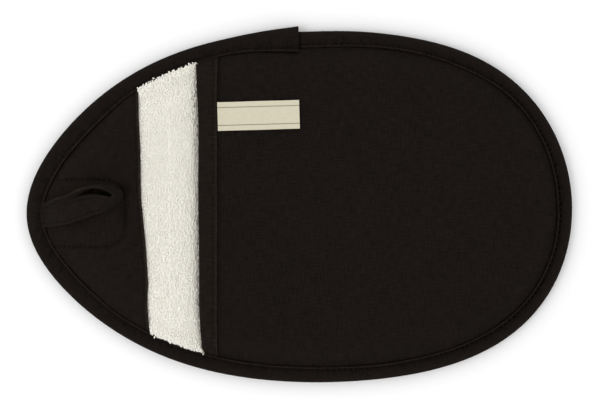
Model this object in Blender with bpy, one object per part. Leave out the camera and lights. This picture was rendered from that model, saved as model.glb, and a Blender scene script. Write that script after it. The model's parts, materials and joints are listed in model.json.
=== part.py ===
# Oval oven mitt with a finger pocket, a thumb pocket and a bare terry strip between them.
# It lies on its back on the ground: long side along X, finger end at +X, pockets facing up.
# The padded body folds at the middle of the bare strip; the loop and the label turn on their seams.
import math

import bmesh
import bpy
from mathutils import Vector
from mathutils.bvhtree import BVHTree

# ---- overall outline, metres ----
HALF_LENGTH = 0.135
HALF_WIDTH_TERMS = (0.0872, 0.0047, 0.0092, 0.0125, -0.0076)
STATIONS = 60

# ---- places along the length ----
FOLD_X = -0.0642
FOLD_Z = 0.0076
SPLIT_GAP = 0.0003
CHANNEL_OVERCUT = 0.0012
CHANNEL_REACH = 0.004
LAP_SIDE_Y = 0.02
RAY_START = 0.1
FINGER_MOUTH_X = -0.0490
BAND_FRONT_X = -0.0499
BAND_INNER_X = -0.0493
BAND_SEAM_X = -0.0406
THUMB_MOUTH_X = -0.0770
THUMB_MOUTH_SLANT = 0.057

# ---- layers: rows of (distance in from the outline, underside height, top height) ----
LAYER_EDGE = 0.0020
BINDING_INNER = 0.0073
BACK_COVER = ((0.0100, 0.0009, 0.0015), (0.0140, 0.0000, 0.0007))
BACK_WADDING = ((0.0100, 0.0018, 0.0034), (0.0140, 0.0010, 0.0040))
TERRY = ((0.0100, 0.0037, 0.0049), (0.0140, 0.0043, 0.0066))
FINGER_LINING = (
    (0.0100, 0.0076, 0.0082), (0.0140, 0.0100, 0.0107),
    (0.0200, 0.0116, 0.0123), (0.0280, 0.0122, 0.0129),
)
FINGER_WADDING = (
    (0.0100, 0.0085, 0.0099), (0.0140, 0.0110, 0.0129),
    (0.0200, 0.0126, 0.0147), (0.0280, 0.0132, 0.0154),
)
FINGER_COVER = (
    (0.0100, 0.0102, 0.0108), (0.0140, 0.0132, 0.0139),
    (0.0200, 0.0150, 0.0157), (0.0280, 0.0157, 0.0164),
)
THUMB_LINING = (
    (0.0100, 0.0060, 0.0065), (0.0140, 0.0084, 0.0089),
    (0.0200, 0.0106, 0.0112), (0.0280, 0.0110, 0.0116),
)
THUMB_WADDING = (
    (0.0100, 0.0068, 0.0078), (0.0140, 0.0092, 0.0108),
    (0.0200, 0.0115, 0.0134), (0.0280, 0.0119, 0.0147),
)
THUMB_COVER = (
    (0.0100, 0.0081, 0.0086), (0.0140, 0.0111, 0.0117),
    (0.0200, 0.0138, 0.0144), (0.0280, 0.0150, 0.0156),
)
EDGE_STACK_START = 0.00183
EDGE_STACK_STEP = 0.00078
EDGE_LAYER = 0.00045

# ---- edge binding and its lapped end: outlines of (distance in, height) ----
BINDING_SECTION = (
    (0.0072, 0.0070), (0.0018, 0.0070), (0.0005, 0.0063), (0.0000, 0.0048),
    (0.0000, 0.0032), (0.0005, 0.0017), (0.0018, 0.0010), (0.0072, 0.0010),
    (0.0072, 0.0015), (0.0019, 0.0015), (0.0010, 0.0021), (0.0006, 0.0034),
    (0.0006, 0.0046), (0.0010, 0.0059), (0.0019, 0.0065), (0.0072, 0.0065),
)
LAP_SECTION = (
    (0.0092, 0.0113), (0.0072, 0.0084), (0.0012, 0.0084), (-0.0008, 0.0072),
    (-0.0014, 0.0048), (-0.0014, 0.0032), (-0.0008, 0.0011), (0.0008, 0.0001),
    (0.0080, 0.0001), (0.0080, 0.0006), (0.0010, 0.0006), (-0.0003, 0.0014),
    (-0.0008, 0.0032), (-0.0008, 0.0048), (-0.0003, 0.0069), (0.0014, 0.0078),
    (0.0075, 0.0078), (0.0096, 0.0110),
)
LAP_START_X = -0.0370
LAP_END_X = -0.0004

# ---- pocket mouth band ----
BAND_CLEAR = 0.0003
BAND_CLOTH = 0.0005

# ---- threads ----
THREAD_RADIUS = 0.0002
EDGE_ROW_INSET = 0.0062
EDGE_ROW_Z = 0.00727
EDGE_ROW_FOLD_GAP = 0.0008
BAND_ROW_X = -0.0426
BAND_ROW_REACH = 0.058
BAND_ROW_STEPS = 24
THREAD_LIFT = 0.0004

# ---- label, hinged at the band's seam ----
LABEL_HINGE = Vector((-0.0403, 0.0, 0.01735))
LABEL_SIZE = (0.0406, 0.0141, 0.0003)
LABEL_START = (-0.0402, 0.0450)
LABEL_Z = 0.01675
LABEL_TURN = math.radians(1.5)

# ---- flat magnet in its stitched pocket on the thumb side ----
MAGNET_CENTRE = (-0.0980, -0.0036)
MAGNET_SIZE = (0.0230, 0.0240)
MAGNET_Z = (0.01300, 0.01375)
POUCH_SIZE = (0.0262, 0.0278)
POUCH_Z = (0.01250, 0.01275)
RECESS_SIZE = (0.0268, 0.0284)
RECESS_FLOOR = 0.01225
CORNER_RADIUS = 0.0040
RECESS_TOP = 0.020
MAGNET_ROW_LEFT = -0.1180
MAGNET_ROW_RIGHT = -0.0845
MAGNET_ROW_LOW = -0.0205
MAGNET_ROW_HIGH = 0.0127
MAGNET_ROW_CORNER = 0.0100

# ---- hanging loop: stations of (x, y, tilt of the tape in degrees, extra lift) ----
LOOP_HINGE = Vector((-0.1276, 0.0, 0.0085))
LOOP_WIDTH = 0.0118
LOOP_CLOTH = 0.0010
LOOP_CLEAR = 0.0003
LOOP_UPRIGHT = 85
BINDING_TOP = 0.0070
LOOP_STATIONS = (
    (-0.1273, -0.0046, 0, 0.0015), (-0.1250, -0.0046, 0, 0.0015),
    (-0.1210, -0.0042, 2, 0.0015), (-0.1160, -0.0034, 8, 0.0014),
    (-0.1100, -0.0018, 18, 0.0013), (-0.1040, 0.0004, 32, 0.0011),
    (-0.0985, 0.0022, 50, 0.0008), (-0.0940, 0.0030, 68, 0.0004),
    (-0.0905, 0.0034, 82, 0.0003), (-0.0882, 0.0046, 88, 0.0003),
    (-0.0876, 0.0066, 90, 0.0003), (-0.0888, 0.0086, 90, 0.0003),
    (-0.0912, 0.0097, 90, 0.0003), (-0.0950, 0.0102, 88, 0.0003),
    (-0.1000, 0.0098, 82, 0.0003), (-0.1052, 0.0080, 68, 0.0003),
    (-0.1104, 0.0052, 42, 0.0003), (-0.1156, 0.0016, 16, 0.0002),
    (-0.1210, -0.0018, 2, 0.0001), (-0.1250, -0.0034, 0, 0.0001),
    (-0.1273, -0.0034, 0, 0.0001),
)


def material(name, colour, roughness):
    """Plain Principled finish for one kind of cloth or part."""
    mat = bpy.data.materials.new(name)
    mat.use_nodes = True
    shader = mat.node_tree.nodes["Principled BSDF"]
    shader.inputs["Base Color"].default_value = (*colour, 1.0)
    shader.inputs["Roughness"].default_value = roughness
    mat.diffuse_color = (*colour, 1.0)
    return mat


def outline_point(turn):
    """Egg outline: blunt at both ends, broader at the finger end."""
    along = math.cos(turn)
    half = sum(term * along ** power for power, term in enumerate(HALF_WIDTH_TERMS))
    return Vector((HALF_LENGTH * along, math.sin(turn) * half))


def outline_stations(count, dense=7200):
    """Evenly spaced outline points with their inward normals."""
    points = [outline_point(2.0 * math.pi * i / dense) for i in range(dense)]
    steps = [(points[(i + 1) % dense] - points[i]).length for i in range(dense)]
    total = sum(steps)
    found = []
    run = 0.0
    for i in range(dense):
        if run >= total * len(found) / count - 1e-9 and len(found) < count:
            tangent = (points[(i + 1) % dense] - points[i - 1]).normalized()
            found.append((points[i], Vector((-tangent.y, tangent.x))))
        run += steps[i]
    return found


EDGE = outline_stations(STATIONS)


def ring(inset):
    """Outline moved straight in by the given distance."""
    return [point + normal * inset for point, normal in EDGE]


def edge_rows(level, rows):
    """Full profile of a layer: flat inside the binding at its level, then its own rows."""
    low = EDGE_STACK_START + EDGE_STACK_STEP * level
    held = ((LAYER_EDGE, low, low + EDGE_LAYER), (BINDING_INNER, low, low + EDGE_LAYER))
    return held + rows


def loft(rows):
    """Closed layer whose underside and top follow the rows in from the outline."""
    bm = bmesh.new()
    lows = []
    highs = []
    for inset, low, high in rows:
        places = ring(inset)
        lows.append([bm.verts.new((p.x, p.y, low)) for p in places])
        highs.append([bm.verts.new((p.x, p.y, high)) for p in places])
    for rank in range(len(rows) - 1):
        for i in range(STATIONS):
            j = (i + 1) % STATIONS
            bm.faces.new((highs[rank][i], highs[rank][j], highs[rank + 1][j], highs[rank + 1][i]))
            bm.faces.new((lows[rank][j], lows[rank][i], lows[rank + 1][i], lows[rank + 1][j]))
    for i in range(STATIONS):
        j = (i + 1) % STATIONS
        bm.faces.new((lows[0][i], lows[0][j], highs[0][j], highs[0][i]))
    bm.faces.new(highs[-1])
    bm.faces.new(list(reversed(lows[-1])))
    bmesh.ops.recalc_face_normals(bm, faces=bm.faces)
    return bm


def swept_rim(section):
    """Closed channel that runs right round the outline with the given section."""
    bm = bmesh.new()
    rings = []
    for point, normal in EDGE:
        places = [point + normal * inset for inset, height in section]
        rings.append([
            bm.verts.new((place.x, place.y, row[1])) for place, row in zip(places, section)
        ])
    size = len(section)
    for i in range(STATIONS):
        ahead = rings[(i + 1) % STATIONS]
        for k in range(size):
            m = (k + 1) % size
            bm.faces.new((rings[i][k], rings[i][m], ahead[m], ahead[k]))
    bmesh.ops.recalc_face_normals(bm, faces=bm.faces)
    return bm


def keep_side(bm, point, direction):
    """Cut square across and keep what lies on the direction's side, with the cut closed."""
    cut = bmesh.ops.bisect_plane(
        bm, geom=bm.verts[:] + bm.edges[:] + bm.faces[:], dist=1e-7,
        plane_co=point, plane_no=direction, clear_inner=True,
    )
    rim = [item for item in cut["geom_cut"] if isinstance(item, bmesh.types.BMEdge)]
    bmesh.ops.holes_fill(bm, edges=rim, sides=0)
    bmesh.ops.recalc_face_normals(bm, faces=bm.faces)
    return bm


def finger_side(bm):
    return keep_side(bm, (FOLD_X + SPLIT_GAP / 2, 0, 0), (1, 0, 0))


def thumb_side(bm):
    return keep_side(bm, (FOLD_X - SPLIT_GAP / 2, 0, 0), (-1, 0, 0))


def finger_pocket(bm):
    return keep_side(bm, (FINGER_MOUTH_X, 0, 0), (1, 0, 0))


def thumb_pocket(bm):
    return keep_side(bm, (THUMB_MOUTH_X, 0, 0), Vector((-1, -THUMB_MOUTH_SLANT, 0)).normalized())


def tube(path, closed_sides=6, radius=THREAD_RADIUS):
    """Round thread along a path, flat at both ends."""
    bm = bmesh.new()
    rings = []
    for i, place in enumerate(path):
        ahead = path[min(i + 1, len(path) - 1)] - path[max(i - 1, 0)]
        side = ahead.cross(Vector((0, 0, 1))).normalized()
        lift = side.cross(ahead).normalized()
        around = [2.0 * math.pi * k / closed_sides for k in range(closed_sides)]
        rings.append([
            bm.verts.new(place + side * radius * math.cos(a) + lift * radius * math.sin(a))
            for a in around
        ])
    for near, far in zip(rings, rings[1:]):
        for k in range(closed_sides):
            m = (k + 1) % closed_sides
            bm.faces.new((near[k], near[m], far[m], far[k]))
    bm.faces.new(list(reversed(rings[0])))
    bm.faces.new(rings[-1])
    bmesh.ops.recalc_face_normals(bm, faces=bm.faces)
    return bm


def rounded_plate(centre, size, levels, radius):
    """Flat plate with rounded corners between two heights."""
    bm = bmesh.new()
    corners = []
    for quarter in range(4):
        sx = 1 if quarter in (0, 3) else -1
        sy = 1 if quarter in (0, 1) else -1
        for step in range(5):
            a = math.pi / 2 * (quarter + step / 4)
            x = centre[0] + sx * (size[0] / 2 - radius) + radius * math.cos(a)
            y = centre[1] + sy * (size[1] / 2 - radius) + radius * math.sin(a)
            corners.append((x, y))
    low = [bm.verts.new((x, y, levels[0])) for x, y in corners]
    high = [bm.verts.new((x, y, levels[1])) for x, y in corners]
    for i in range(len(corners)):
        j = (i + 1) % len(corners)
        bm.faces.new((low[i], low[j], high[j], high[i]))
    bm.faces.new(high)
    bm.faces.new(list(reversed(low)))
    bmesh.ops.recalc_face_normals(bm, faces=bm.faces)
    return bm


def surface_height(tree, x, y):
    """Height of a layer's top at one place, and how steeply it stands there."""
    place, normal = tree.ray_cast(Vector((x, y, RAY_START)), Vector((0, 0, -1)))[:2]
    return place.z, normal.z


def laid_path(tree, places, lift):
    """Path of places resting on a layer's top."""
    found = [(x, y, *surface_height(tree, x, y)) for x, y in places]
    return [Vector((x, y, height + lift / level)) for x, y, height, level in found]


def magnet_row_places():
    """Open U of stitches round the magnet, its open side toward the binding."""
    reach = MAGNET_ROW_RIGHT - MAGNET_ROW_CORNER
    places = [(MAGNET_ROW_LEFT + (reach - MAGNET_ROW_LEFT) * k / 12, MAGNET_ROW_LOW) for k in range(12)]
    for step in range(7):
        a = -math.pi / 2 + math.pi / 2 * step / 6
        x = reach + MAGNET_ROW_CORNER * math.cos(a)
        y = MAGNET_ROW_LOW + MAGNET_ROW_CORNER + MAGNET_ROW_CORNER * math.sin(a)
        places.append((x, y))
    for step in range(7):
        a = math.pi / 2 * step / 6
        x = reach + MAGNET_ROW_CORNER * math.cos(a)
        y = MAGNET_ROW_HIGH - MAGNET_ROW_CORNER + MAGNET_ROW_CORNER * math.sin(a)
        places.append((x, y))
    places += [(reach + (MAGNET_ROW_LEFT - reach) * k / 12, MAGNET_ROW_HIGH) for k in range(1, 13)]
    return places


def loop_tape(tree):
    """One tape: flat at its sewn ends, standing on its edge round the bend."""
    last = len(LOOP_STATIONS) - 1
    plan = [Vector((x, y, 0)) for x, y, tilt, lift in LOOP_STATIONS]
    centres = []
    sides = []
    for i, (x, y, tilt, lift) in enumerate(LOOP_STATIONS):
        heading = (plan[min(i + 1, last)] - plan[max(i - 1, 0)]).normalized()
        if i in (0, last):
            heading = Vector((1 if i == 0 else -1, 0, 0))
        level = Vector((-heading.y, heading.x, 0))
        if level.y < 0 and tilt < LOOP_UPRIGHT:
            level = -level
        lean = math.radians(tilt)
        wide = level * math.cos(lean) + Vector((0, 0, 1)) * math.sin(lean)
        heights = [BINDING_TOP + LOOP_CLOTH / 2 + LOOP_CLEAR + lift]
        for part in (-1.0, -0.5, 0.0, 0.5, 1.0):
            reach = wide * (part * LOOP_WIDTH / 2)
            ground, upright = surface_height(tree, x + reach.x, y + reach.y)
            clear = (LOOP_CLOTH / 2 + LOOP_CLEAR + lift) / upright
            heights.append(ground + clear - reach.z)
        centres.append(Vector((x, y, max(heights))))
        sides.append(wide)
    bm = bmesh.new()
    rings = []
    for i, centre in enumerate(centres):
        ahead = centres[min(i + 1, last)] - centres[max(i - 1, 0)]
        thick = sides[i].cross(ahead).normalized()
        half_w = sides[i] * (LOOP_WIDTH / 2)
        half_t = thick * (LOOP_CLOTH / 2)
        rings.append([
            bm.verts.new(centre + half_w * a + half_t * b)
            for a, b in ((1, 1), (0, 1), (-1, 1), (-1, -1), (0, -1), (1, -1))
        ])
    for near, far in zip(rings, rings[1:]):
        for k in range(6):
            m = (k + 1) % 6
            bm.faces.new((near[k], near[m], far[m], far[k]))
    bm.faces.new(list(reversed(rings[0])))
    bm.faces.new(rings[-1])
    bmesh.ops.recalc_face_normals(bm, faces=bm.faces)
    return bm


def label_plate():
    """Thin satin rectangle, its left end at the band's seam."""
    length, width, cloth = LABEL_SIZE
    bm = bmesh.new()
    along = Vector((math.cos(LABEL_TURN), math.sin(LABEL_TURN), 0))
    across = Vector((-along.y, along.x, 0))
    start = Vector((LABEL_START[0], LABEL_START[1], LABEL_Z))
    corners = [start + across * (side * width / 2) + along * (run * length)
               for run, side in ((0, -1), (1, -1), (1, 1), (0, 1))]
    low = [bm.verts.new(c - Vector((0, 0, cloth / 2))) for c in corners]
    high = [bm.verts.new(c + Vector((0, 0, cloth / 2))) for c in corners]
    for i in range(4):
        j = (i + 1) % 4
        bm.faces.new((low[i], low[j], high[j], high[i]))
    bm.faces.new(high)
    bm.faces.new(list(reversed(low)))
    bmesh.ops.recalc_face_normals(bm, faces=bm.faces)
    return bm


def add_piece(name, bm, mat, origin=Vector((0, 0, 0)), hidden=False):
    """Named object from a finished body, its origin on its joint's axis."""
    bmesh.ops.translate(bm, verts=bm.verts, vec=SHIFT - origin)
    mesh = bpy.data.meshes.new(name)
    bm.to_mesh(mesh)
    bm.free()
    mesh.materials.append(mat)
    obj = bpy.data.objects.new(name, mesh)
    obj.location = origin
    bpy.context.scene.collection.objects.link(obj)
    if hidden:
        obj.hide_render = True
        obj.display_type = "WIRE"
    return obj


def subtract(obj, cutter):
    """Take the cutter's shape out of a piece."""
    step = obj.modifiers.new("cut", "BOOLEAN")
    step.operation = "DIFFERENCE"
    step.solver = "EXACT"
    step.object = cutter


for old in list(bpy.data.objects):
    bpy.data.objects.remove(old, do_unlink=True)

# The lapped end stands proud on one long side, so the body sits a touch off centre.
SHIFT = Vector((0.0, -0.0006, 0.0))
FOLD = Vector((FOLD_X, 0.0, FOLD_Z))

cover_cloth = material("cover_cloth", (0.012, 0.011, 0.010), 0.9)
lining_cloth = material("lining_cloth", (0.020, 0.018, 0.016), 0.9)
wadding = material("wadding", (0.78, 0.76, 0.70), 0.95)
terry_cloth = material("terry_cloth", (0.82, 0.79, 0.70), 0.95)
binding_cloth = material("binding_cloth", (0.012, 0.011, 0.010), 0.85)
sewing_thread = material("sewing_thread", (0.022, 0.020, 0.018), 0.7)
label_satin = material("label_satin", (0.66, 0.62, 0.46), 0.45)
loop_cloth = material("loop_cloth", (0.013, 0.012, 0.011), 0.85)
magnet_sheet = material("magnet_sheet", (0.05, 0.045, 0.04), 0.6)

# Back of the mitt: cover, wadding and terry, each one real sheet that bends at the fold.
for layer, level, rows, mat in (
    ("back_cover", 0, BACK_COVER, cover_cloth),
    ("back_wadding", 1, BACK_WADDING, wadding),
    ("terry_lining", 2, TERRY, terry_cloth),
):
    add_piece(layer + "_finger_side", finger_side(loft(edge_rows(level, rows))), mat)
    add_piece(layer + "_thumb_side", thumb_side(loft(edge_rows(level, rows))), mat, FOLD)

# Finger pocket.
finger_cover_rows = edge_rows(5, FINGER_COVER)
add_piece("finger_pocket_lining", finger_pocket(loft(edge_rows(3, FINGER_LINING))), lining_cloth)
add_piece("finger_pocket_wadding", finger_pocket(loft(edge_rows(4, FINGER_WADDING))), wadding)
add_piece("finger_pocket_cover", finger_pocket(loft(finger_cover_rows)), cover_cloth)

# Band folded over the finger pocket's mouth.
spans = [(low[0], low[1], high[2]) for low, high in zip(FINGER_LINING, FINGER_COVER)]
outside = BAND_CLEAR + BAND_CLOTH
outer_rows = tuple((inset, low - outside, high + outside) for inset, low, high in spans)
inner_rows = tuple((inset, low - BAND_CLEAR, high + BAND_CLEAR) for inset, low, high in spans)
band_body = keep_side(loft(outer_rows), (BAND_FRONT_X, 0, 0), (1, 0, 0))
band_body = keep_side(band_body, (BAND_SEAM_X, 0, 0), (-1, 0, 0))
band_tree = BVHTree.FromBMesh(band_body)
band = add_piece("finger_pocket_band", band_body, binding_cloth)
open_end = (inner_rows[0][0] - CHANNEL_OVERCUT, inner_rows[0][1], inner_rows[0][2])
channel = keep_side(loft((open_end,) + inner_rows), (BAND_INNER_X, 0, 0), (1, 0, 0))
channel = keep_side(channel, (BAND_SEAM_X + CHANNEL_REACH, 0, 0), (-1, 0, 0))
subtract(band, add_piece("band_channel_cutter", channel, binding_cloth, hidden=True))

# Thumb pocket, with a recess in its wadding for the magnet.
thumb_cover = thumb_pocket(loft(edge_rows(5, THUMB_COVER)))
thumb_tree = BVHTree.FromBMesh(thumb_cover)
add_piece("thumb_pocket_lining", thumb_pocket(loft(edge_rows(3, THUMB_LINING))), lining_cloth, FOLD)
pad = add_piece("thumb_pocket_wadding", thumb_pocket(loft(edge_rows(4, THUMB_WADDING))), wadding, FOLD)
recess = rounded_plate(MAGNET_CENTRE, RECESS_SIZE, (RECESS_FLOOR, RECESS_TOP), CORNER_RADIUS)
subtract(pad, add_piece("magnet_recess_cutter", recess, wadding, hidden=True))
add_piece("thumb_pocket_cover", thumb_cover, cover_cloth, FOLD)
pouch = rounded_plate(MAGNET_CENTRE, POUCH_SIZE, POUCH_Z, CORNER_RADIUS)
add_piece("magnet_pouch", pouch, lining_cloth, FOLD)
magnet = rounded_plate(MAGNET_CENTRE, MAGNET_SIZE, MAGNET_Z, CORNER_RADIUS)
add_piece("magnet", magnet, magnet_sheet, FOLD)
magnet_row = tube(laid_path(thumb_tree, magnet_row_places(), THREAD_LIFT))
add_piece("magnet_pocket_stitching", magnet_row, sewing_thread, FOLD)

# Binding right round the edge, and its free end lapped over the start.
add_piece("edge_binding_finger_side", finger_side(swept_rim(BINDING_SECTION)), binding_cloth)
add_piece("edge_binding_thumb_side", thumb_side(swept_rim(BINDING_SECTION)), binding_cloth, FOLD)
lap = keep_side(swept_rim(LAP_SECTION), (LAP_START_X, 0, 0), (1, 0, 0))
lap = keep_side(lap, (LAP_END_X, 0, 0), (-1, 0, 0))
lap = keep_side(lap, (0, LAP_SIDE_Y, 0), (0, 1, 0))
add_piece("edge_binding_lap", lap, binding_cloth)

# Rows of stitching: round the edge, and along the band.
row = [Vector((p.x, p.y, EDGE_ROW_Z)) for p in ring(EDGE_ROW_INSET)]
for side, keep_above, limit, origin in (
    ("finger_side", True, FOLD_X + EDGE_ROW_FOLD_GAP, Vector((0, 0, 0))),
    ("thumb_side", False, FOLD_X - EDGE_ROW_FOLD_GAP, FOLD),
):
    inside = [(p.x > limit) == keep_above for p in row]
    first = next(i for i in range(STATIONS) if inside[i] and not inside[i - 1])
    count = sum(inside)
    path = [row[(first + k) % STATIONS] for k in range(count)]
    for end, beyond in ((0, row[first - 1]), (-1, row[(first + count) % STATIONS])):
        near = path[end]
        share = (limit - near.x) / (beyond.x - near.x)
        path.insert(0 if end == 0 else len(path), near.lerp(beyond, share))
    add_piece("edge_stitching_" + side, tube(path), sewing_thread, origin)
step = 2 * BAND_ROW_REACH / BAND_ROW_STEPS
band_places = [(BAND_ROW_X, -BAND_ROW_REACH + step * k) for k in range(BAND_ROW_STEPS + 1)]
band_row = tube(laid_path(band_tree, band_places, THREAD_LIFT))
add_piece("band_stitching", band_row, sewing_thread)

# Label and hanging loop.
add_piece("woven_label", label_plate(), label_satin, LABEL_HINGE)
add_piece("hanging_loop", loop_tape(thumb_tree), loop_cloth, LOOP_HINGE)
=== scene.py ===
import json

import bmesh
import bpy
import numpy as np
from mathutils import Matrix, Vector


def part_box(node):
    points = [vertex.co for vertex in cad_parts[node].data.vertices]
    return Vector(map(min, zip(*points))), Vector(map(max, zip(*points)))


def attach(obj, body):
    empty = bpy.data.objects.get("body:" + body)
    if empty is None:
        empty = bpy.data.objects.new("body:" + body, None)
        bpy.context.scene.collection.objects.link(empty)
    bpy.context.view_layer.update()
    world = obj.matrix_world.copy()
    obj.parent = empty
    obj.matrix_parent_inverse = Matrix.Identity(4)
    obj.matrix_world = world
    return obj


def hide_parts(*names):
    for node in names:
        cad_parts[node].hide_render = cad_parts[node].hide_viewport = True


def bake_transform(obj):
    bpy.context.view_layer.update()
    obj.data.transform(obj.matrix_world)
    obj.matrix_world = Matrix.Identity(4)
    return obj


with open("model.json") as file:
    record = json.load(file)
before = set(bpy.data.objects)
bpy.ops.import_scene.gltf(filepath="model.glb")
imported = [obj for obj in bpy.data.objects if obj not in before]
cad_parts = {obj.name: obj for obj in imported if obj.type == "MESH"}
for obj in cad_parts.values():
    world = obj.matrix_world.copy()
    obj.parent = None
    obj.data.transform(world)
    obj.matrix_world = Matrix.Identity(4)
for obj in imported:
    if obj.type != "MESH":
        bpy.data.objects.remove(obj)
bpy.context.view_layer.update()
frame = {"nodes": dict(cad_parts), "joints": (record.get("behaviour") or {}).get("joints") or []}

mm = 0.001
twoPi = 2 * np.pi

# The egg outline that every piece follows. Half widths are the terms of a quartic in cos of the turn.
edgeLow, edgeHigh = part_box("edge_binding_finger_side")
outline = {
    "halfLength": edgeHigh.x,
    "middleY": (edgeLow.y + edgeHigh.y) / 2,
    "widthTerms": (0.0869, 0.0050, 0.0102, 0.0133, -0.0081),
    "middleTerms": (0.00025, 0.00042, 0.00016, 0.00049, -0.00264),   # the middle line bows a little
    "dent": 0.8 * mm,   # drawn in where the strip's ends meet
    # share of the way round from the finger end, and how far beyond its usual place the fold sits, in mm
    "foldBeyond": (
        (
            0, 0.03, 0.083, 0.11, 0.14, 0.17, 0.22, 0.25, 0.30, 0.36, 0.39, 0.417, 0.444, 0.472,
            0.5, 0.528, 0.556, 0.583, 0.611, 0.65, 0.7, 0.8, 0.86, 0.917, 0.944, 0.972, 1,
        ), (
            -0.6, -0.7, -0.7, -0.5, -0.2, -0.5, -0.4, 0, 0, 0.2, 0.5, 1.2, 1.5, 1.1, 0.5, 0.5, 1.1,
            0.8, -0.2, -0.3, -0.25, -0.25, -0.2, -0.25, -0.7, -0.9, -0.6,
        ),
    ),
}

foldJoint = next(j for j in frame["joints"] if j["name"] == "mitt_fold")
foldX = foldJoint["pos_m"][0]
sewnEdge = 7.2 * mm   # how far in from the outline the padding starts to rise


def hump(value, middle, half):
    # bell curve: 1 at middle, about a third at half away from it
    return np.exp(-((value - middle) / half) ** 2)


def runOf(path):
    # distance travelled along a row of points
    return np.concatenate([[0], np.cumsum(np.linalg.norm(np.diff(path, axis=0), axis=1))])


def outlineAt(turn):
    # x is half the length times cos, y is sin times the quartic in cos
    along = np.cos(turn)
    half = sum(term * along ** power for power, term in enumerate(outline["widthTerms"]))
    bow = sum(term * along ** power for power, term in enumerate(outline["middleTerms"]))
    x = outline["halfLength"] * along
    half = half - np.clip(np.sin(turn), 0, 1) * outline["dent"] * hump(x, 3 * mm, 20 * mm)
    return np.stack([x, np.sin(turn) * half + outline["middleY"] + bow], -1)


def inwardAt(turn):
    # unit normal that points in: the direction of travel turned a quarter to the left
    ahead = outlineAt(turn + 1e-4) - outlineAt(turn - 1e-4)
    ahead /= np.linalg.norm(ahead, axis=-1, keepdims=True)
    return np.stack([-ahead[..., 1], ahead[..., 0]], -1)


def rimCurve(count):
    # outline points a fixed run apart, their inward normals, and the run of each
    turn = np.linspace(0, twoPi, 20001)
    run = runOf(outlineAt(turn))
    even = np.linspace(0, run[-1], count, endpoint=False)
    turns = np.interp(even, run, turn)
    return outlineAt(turns), inwardAt(turns), even, run[-1]


rimPoint, rimInward, rimRun, rimLength = rimCurve(1440)


def foldBeyond(run):
    # the outline's table read at each run along the rim
    return np.interp(run / rimLength, *outline["foldBeyond"]) * mm


def nearestOn(x, y, path):
    # distance to the nearest of the path's points, and which one it is
    spots = np.stack([np.ravel(x), np.ravel(y)], -1)
    away, which = [], []
    for part in np.array_split(spots, max(1, len(spots) // 4000)):
        gap = ((part[:, None, :] - path[None, :, :2]) ** 2).sum(-1)
        which.append(gap.argmin(1))
        away.append(np.sqrt(gap.min(1)))
    shape = np.shape(x)
    return np.concatenate(away).reshape(shape), np.concatenate(which).reshape(shape)


def eased(low, high, value):
    # 0 below low, 1 above high, smooth between
    part = np.clip((value - low) / (high - low), 0, 1)
    return part * part * (3 - 2 * part)


def waves(x, y, size, seed, count=16):
    # sum of plane waves in random directions with lengths near size, about -1 to 1
    dice = np.random.default_rng(seed)
    turn = dice.uniform(0, twoPi, count)
    length = size * dice.uniform(0.7, 1.6, count)
    phase = dice.uniform(0, twoPi, count)
    across = np.asarray(x)[..., None] * np.cos(turn) + np.asarray(y)[..., None] * np.sin(turn)
    return np.sin(twoPi * across / length + phase).sum(-1) / (1.2 * np.sqrt(count))


def wavesAlong(run, size, seed, shift=0.0):
    # the same waves read along one line
    return waves(run, run * 0 + shift, size, seed)


def rimSides(inset):
    # the oval moved in by inset, as middle and half width at each x
    turn = np.linspace(1e-3, np.pi - 1e-3, 4001)
    sides = []
    for way in (1, -1):
        rim = outlineAt(turn * way) + inwardAt(turn * way) * inset
        order = np.argsort(rim[:, 0])
        sides.append(rim[order])
    x = np.linspace(max(s[0, 0] for s in sides), min(s[-1, 0] for s in sides), 4001)
    upper, lower = (np.interp(x, s[:, 0], s[:, 1]) for s in sides)
    return x, (upper + lower) / 2, (upper - lower) / 2


def rimAt(x, inset):
    # middle and half width of the moved-in oval at x
    rimX, middle, half = rimSides(inset)
    return np.interp(x, rimX, middle), np.interp(x, rimX, half)


def gridQuads(rows, cols, start=0, flip=False, closeRows=False, closeCols=False):
    # quads between neighbouring rows and columns of points stored row after row
    i = np.arange(rows if closeRows else rows - 1)[:, None]
    j = np.arange(cols if closeCols else cols - 1)[None, :]
    iNext, jNext = (i + 1) % rows, (j + 1) % cols
    quads = np.stack([i * cols + j, iNext * cols + j, iNext * cols + jNext, i * cols + jNext], -1)
    quads = quads.reshape(-1, 4) + start
    return quads[:, ::-1] if flip else quads


def borderOf(rows, cols):
    # the grid's border points in order, anticlockwise when rows run along x and columns along y
    grid = np.arange(rows * cols).reshape(rows, cols)
    return np.concatenate([grid[:-1, 0], grid[-1, :-1], grid[:0:-1, -1], grid[0, :0:-1]])


def addObject(name, data):
    # an object at the origin that shows the data
    made = bpy.data.objects.new(name, data)
    bpy.context.scene.collection.objects.link(made)
    return made


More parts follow.
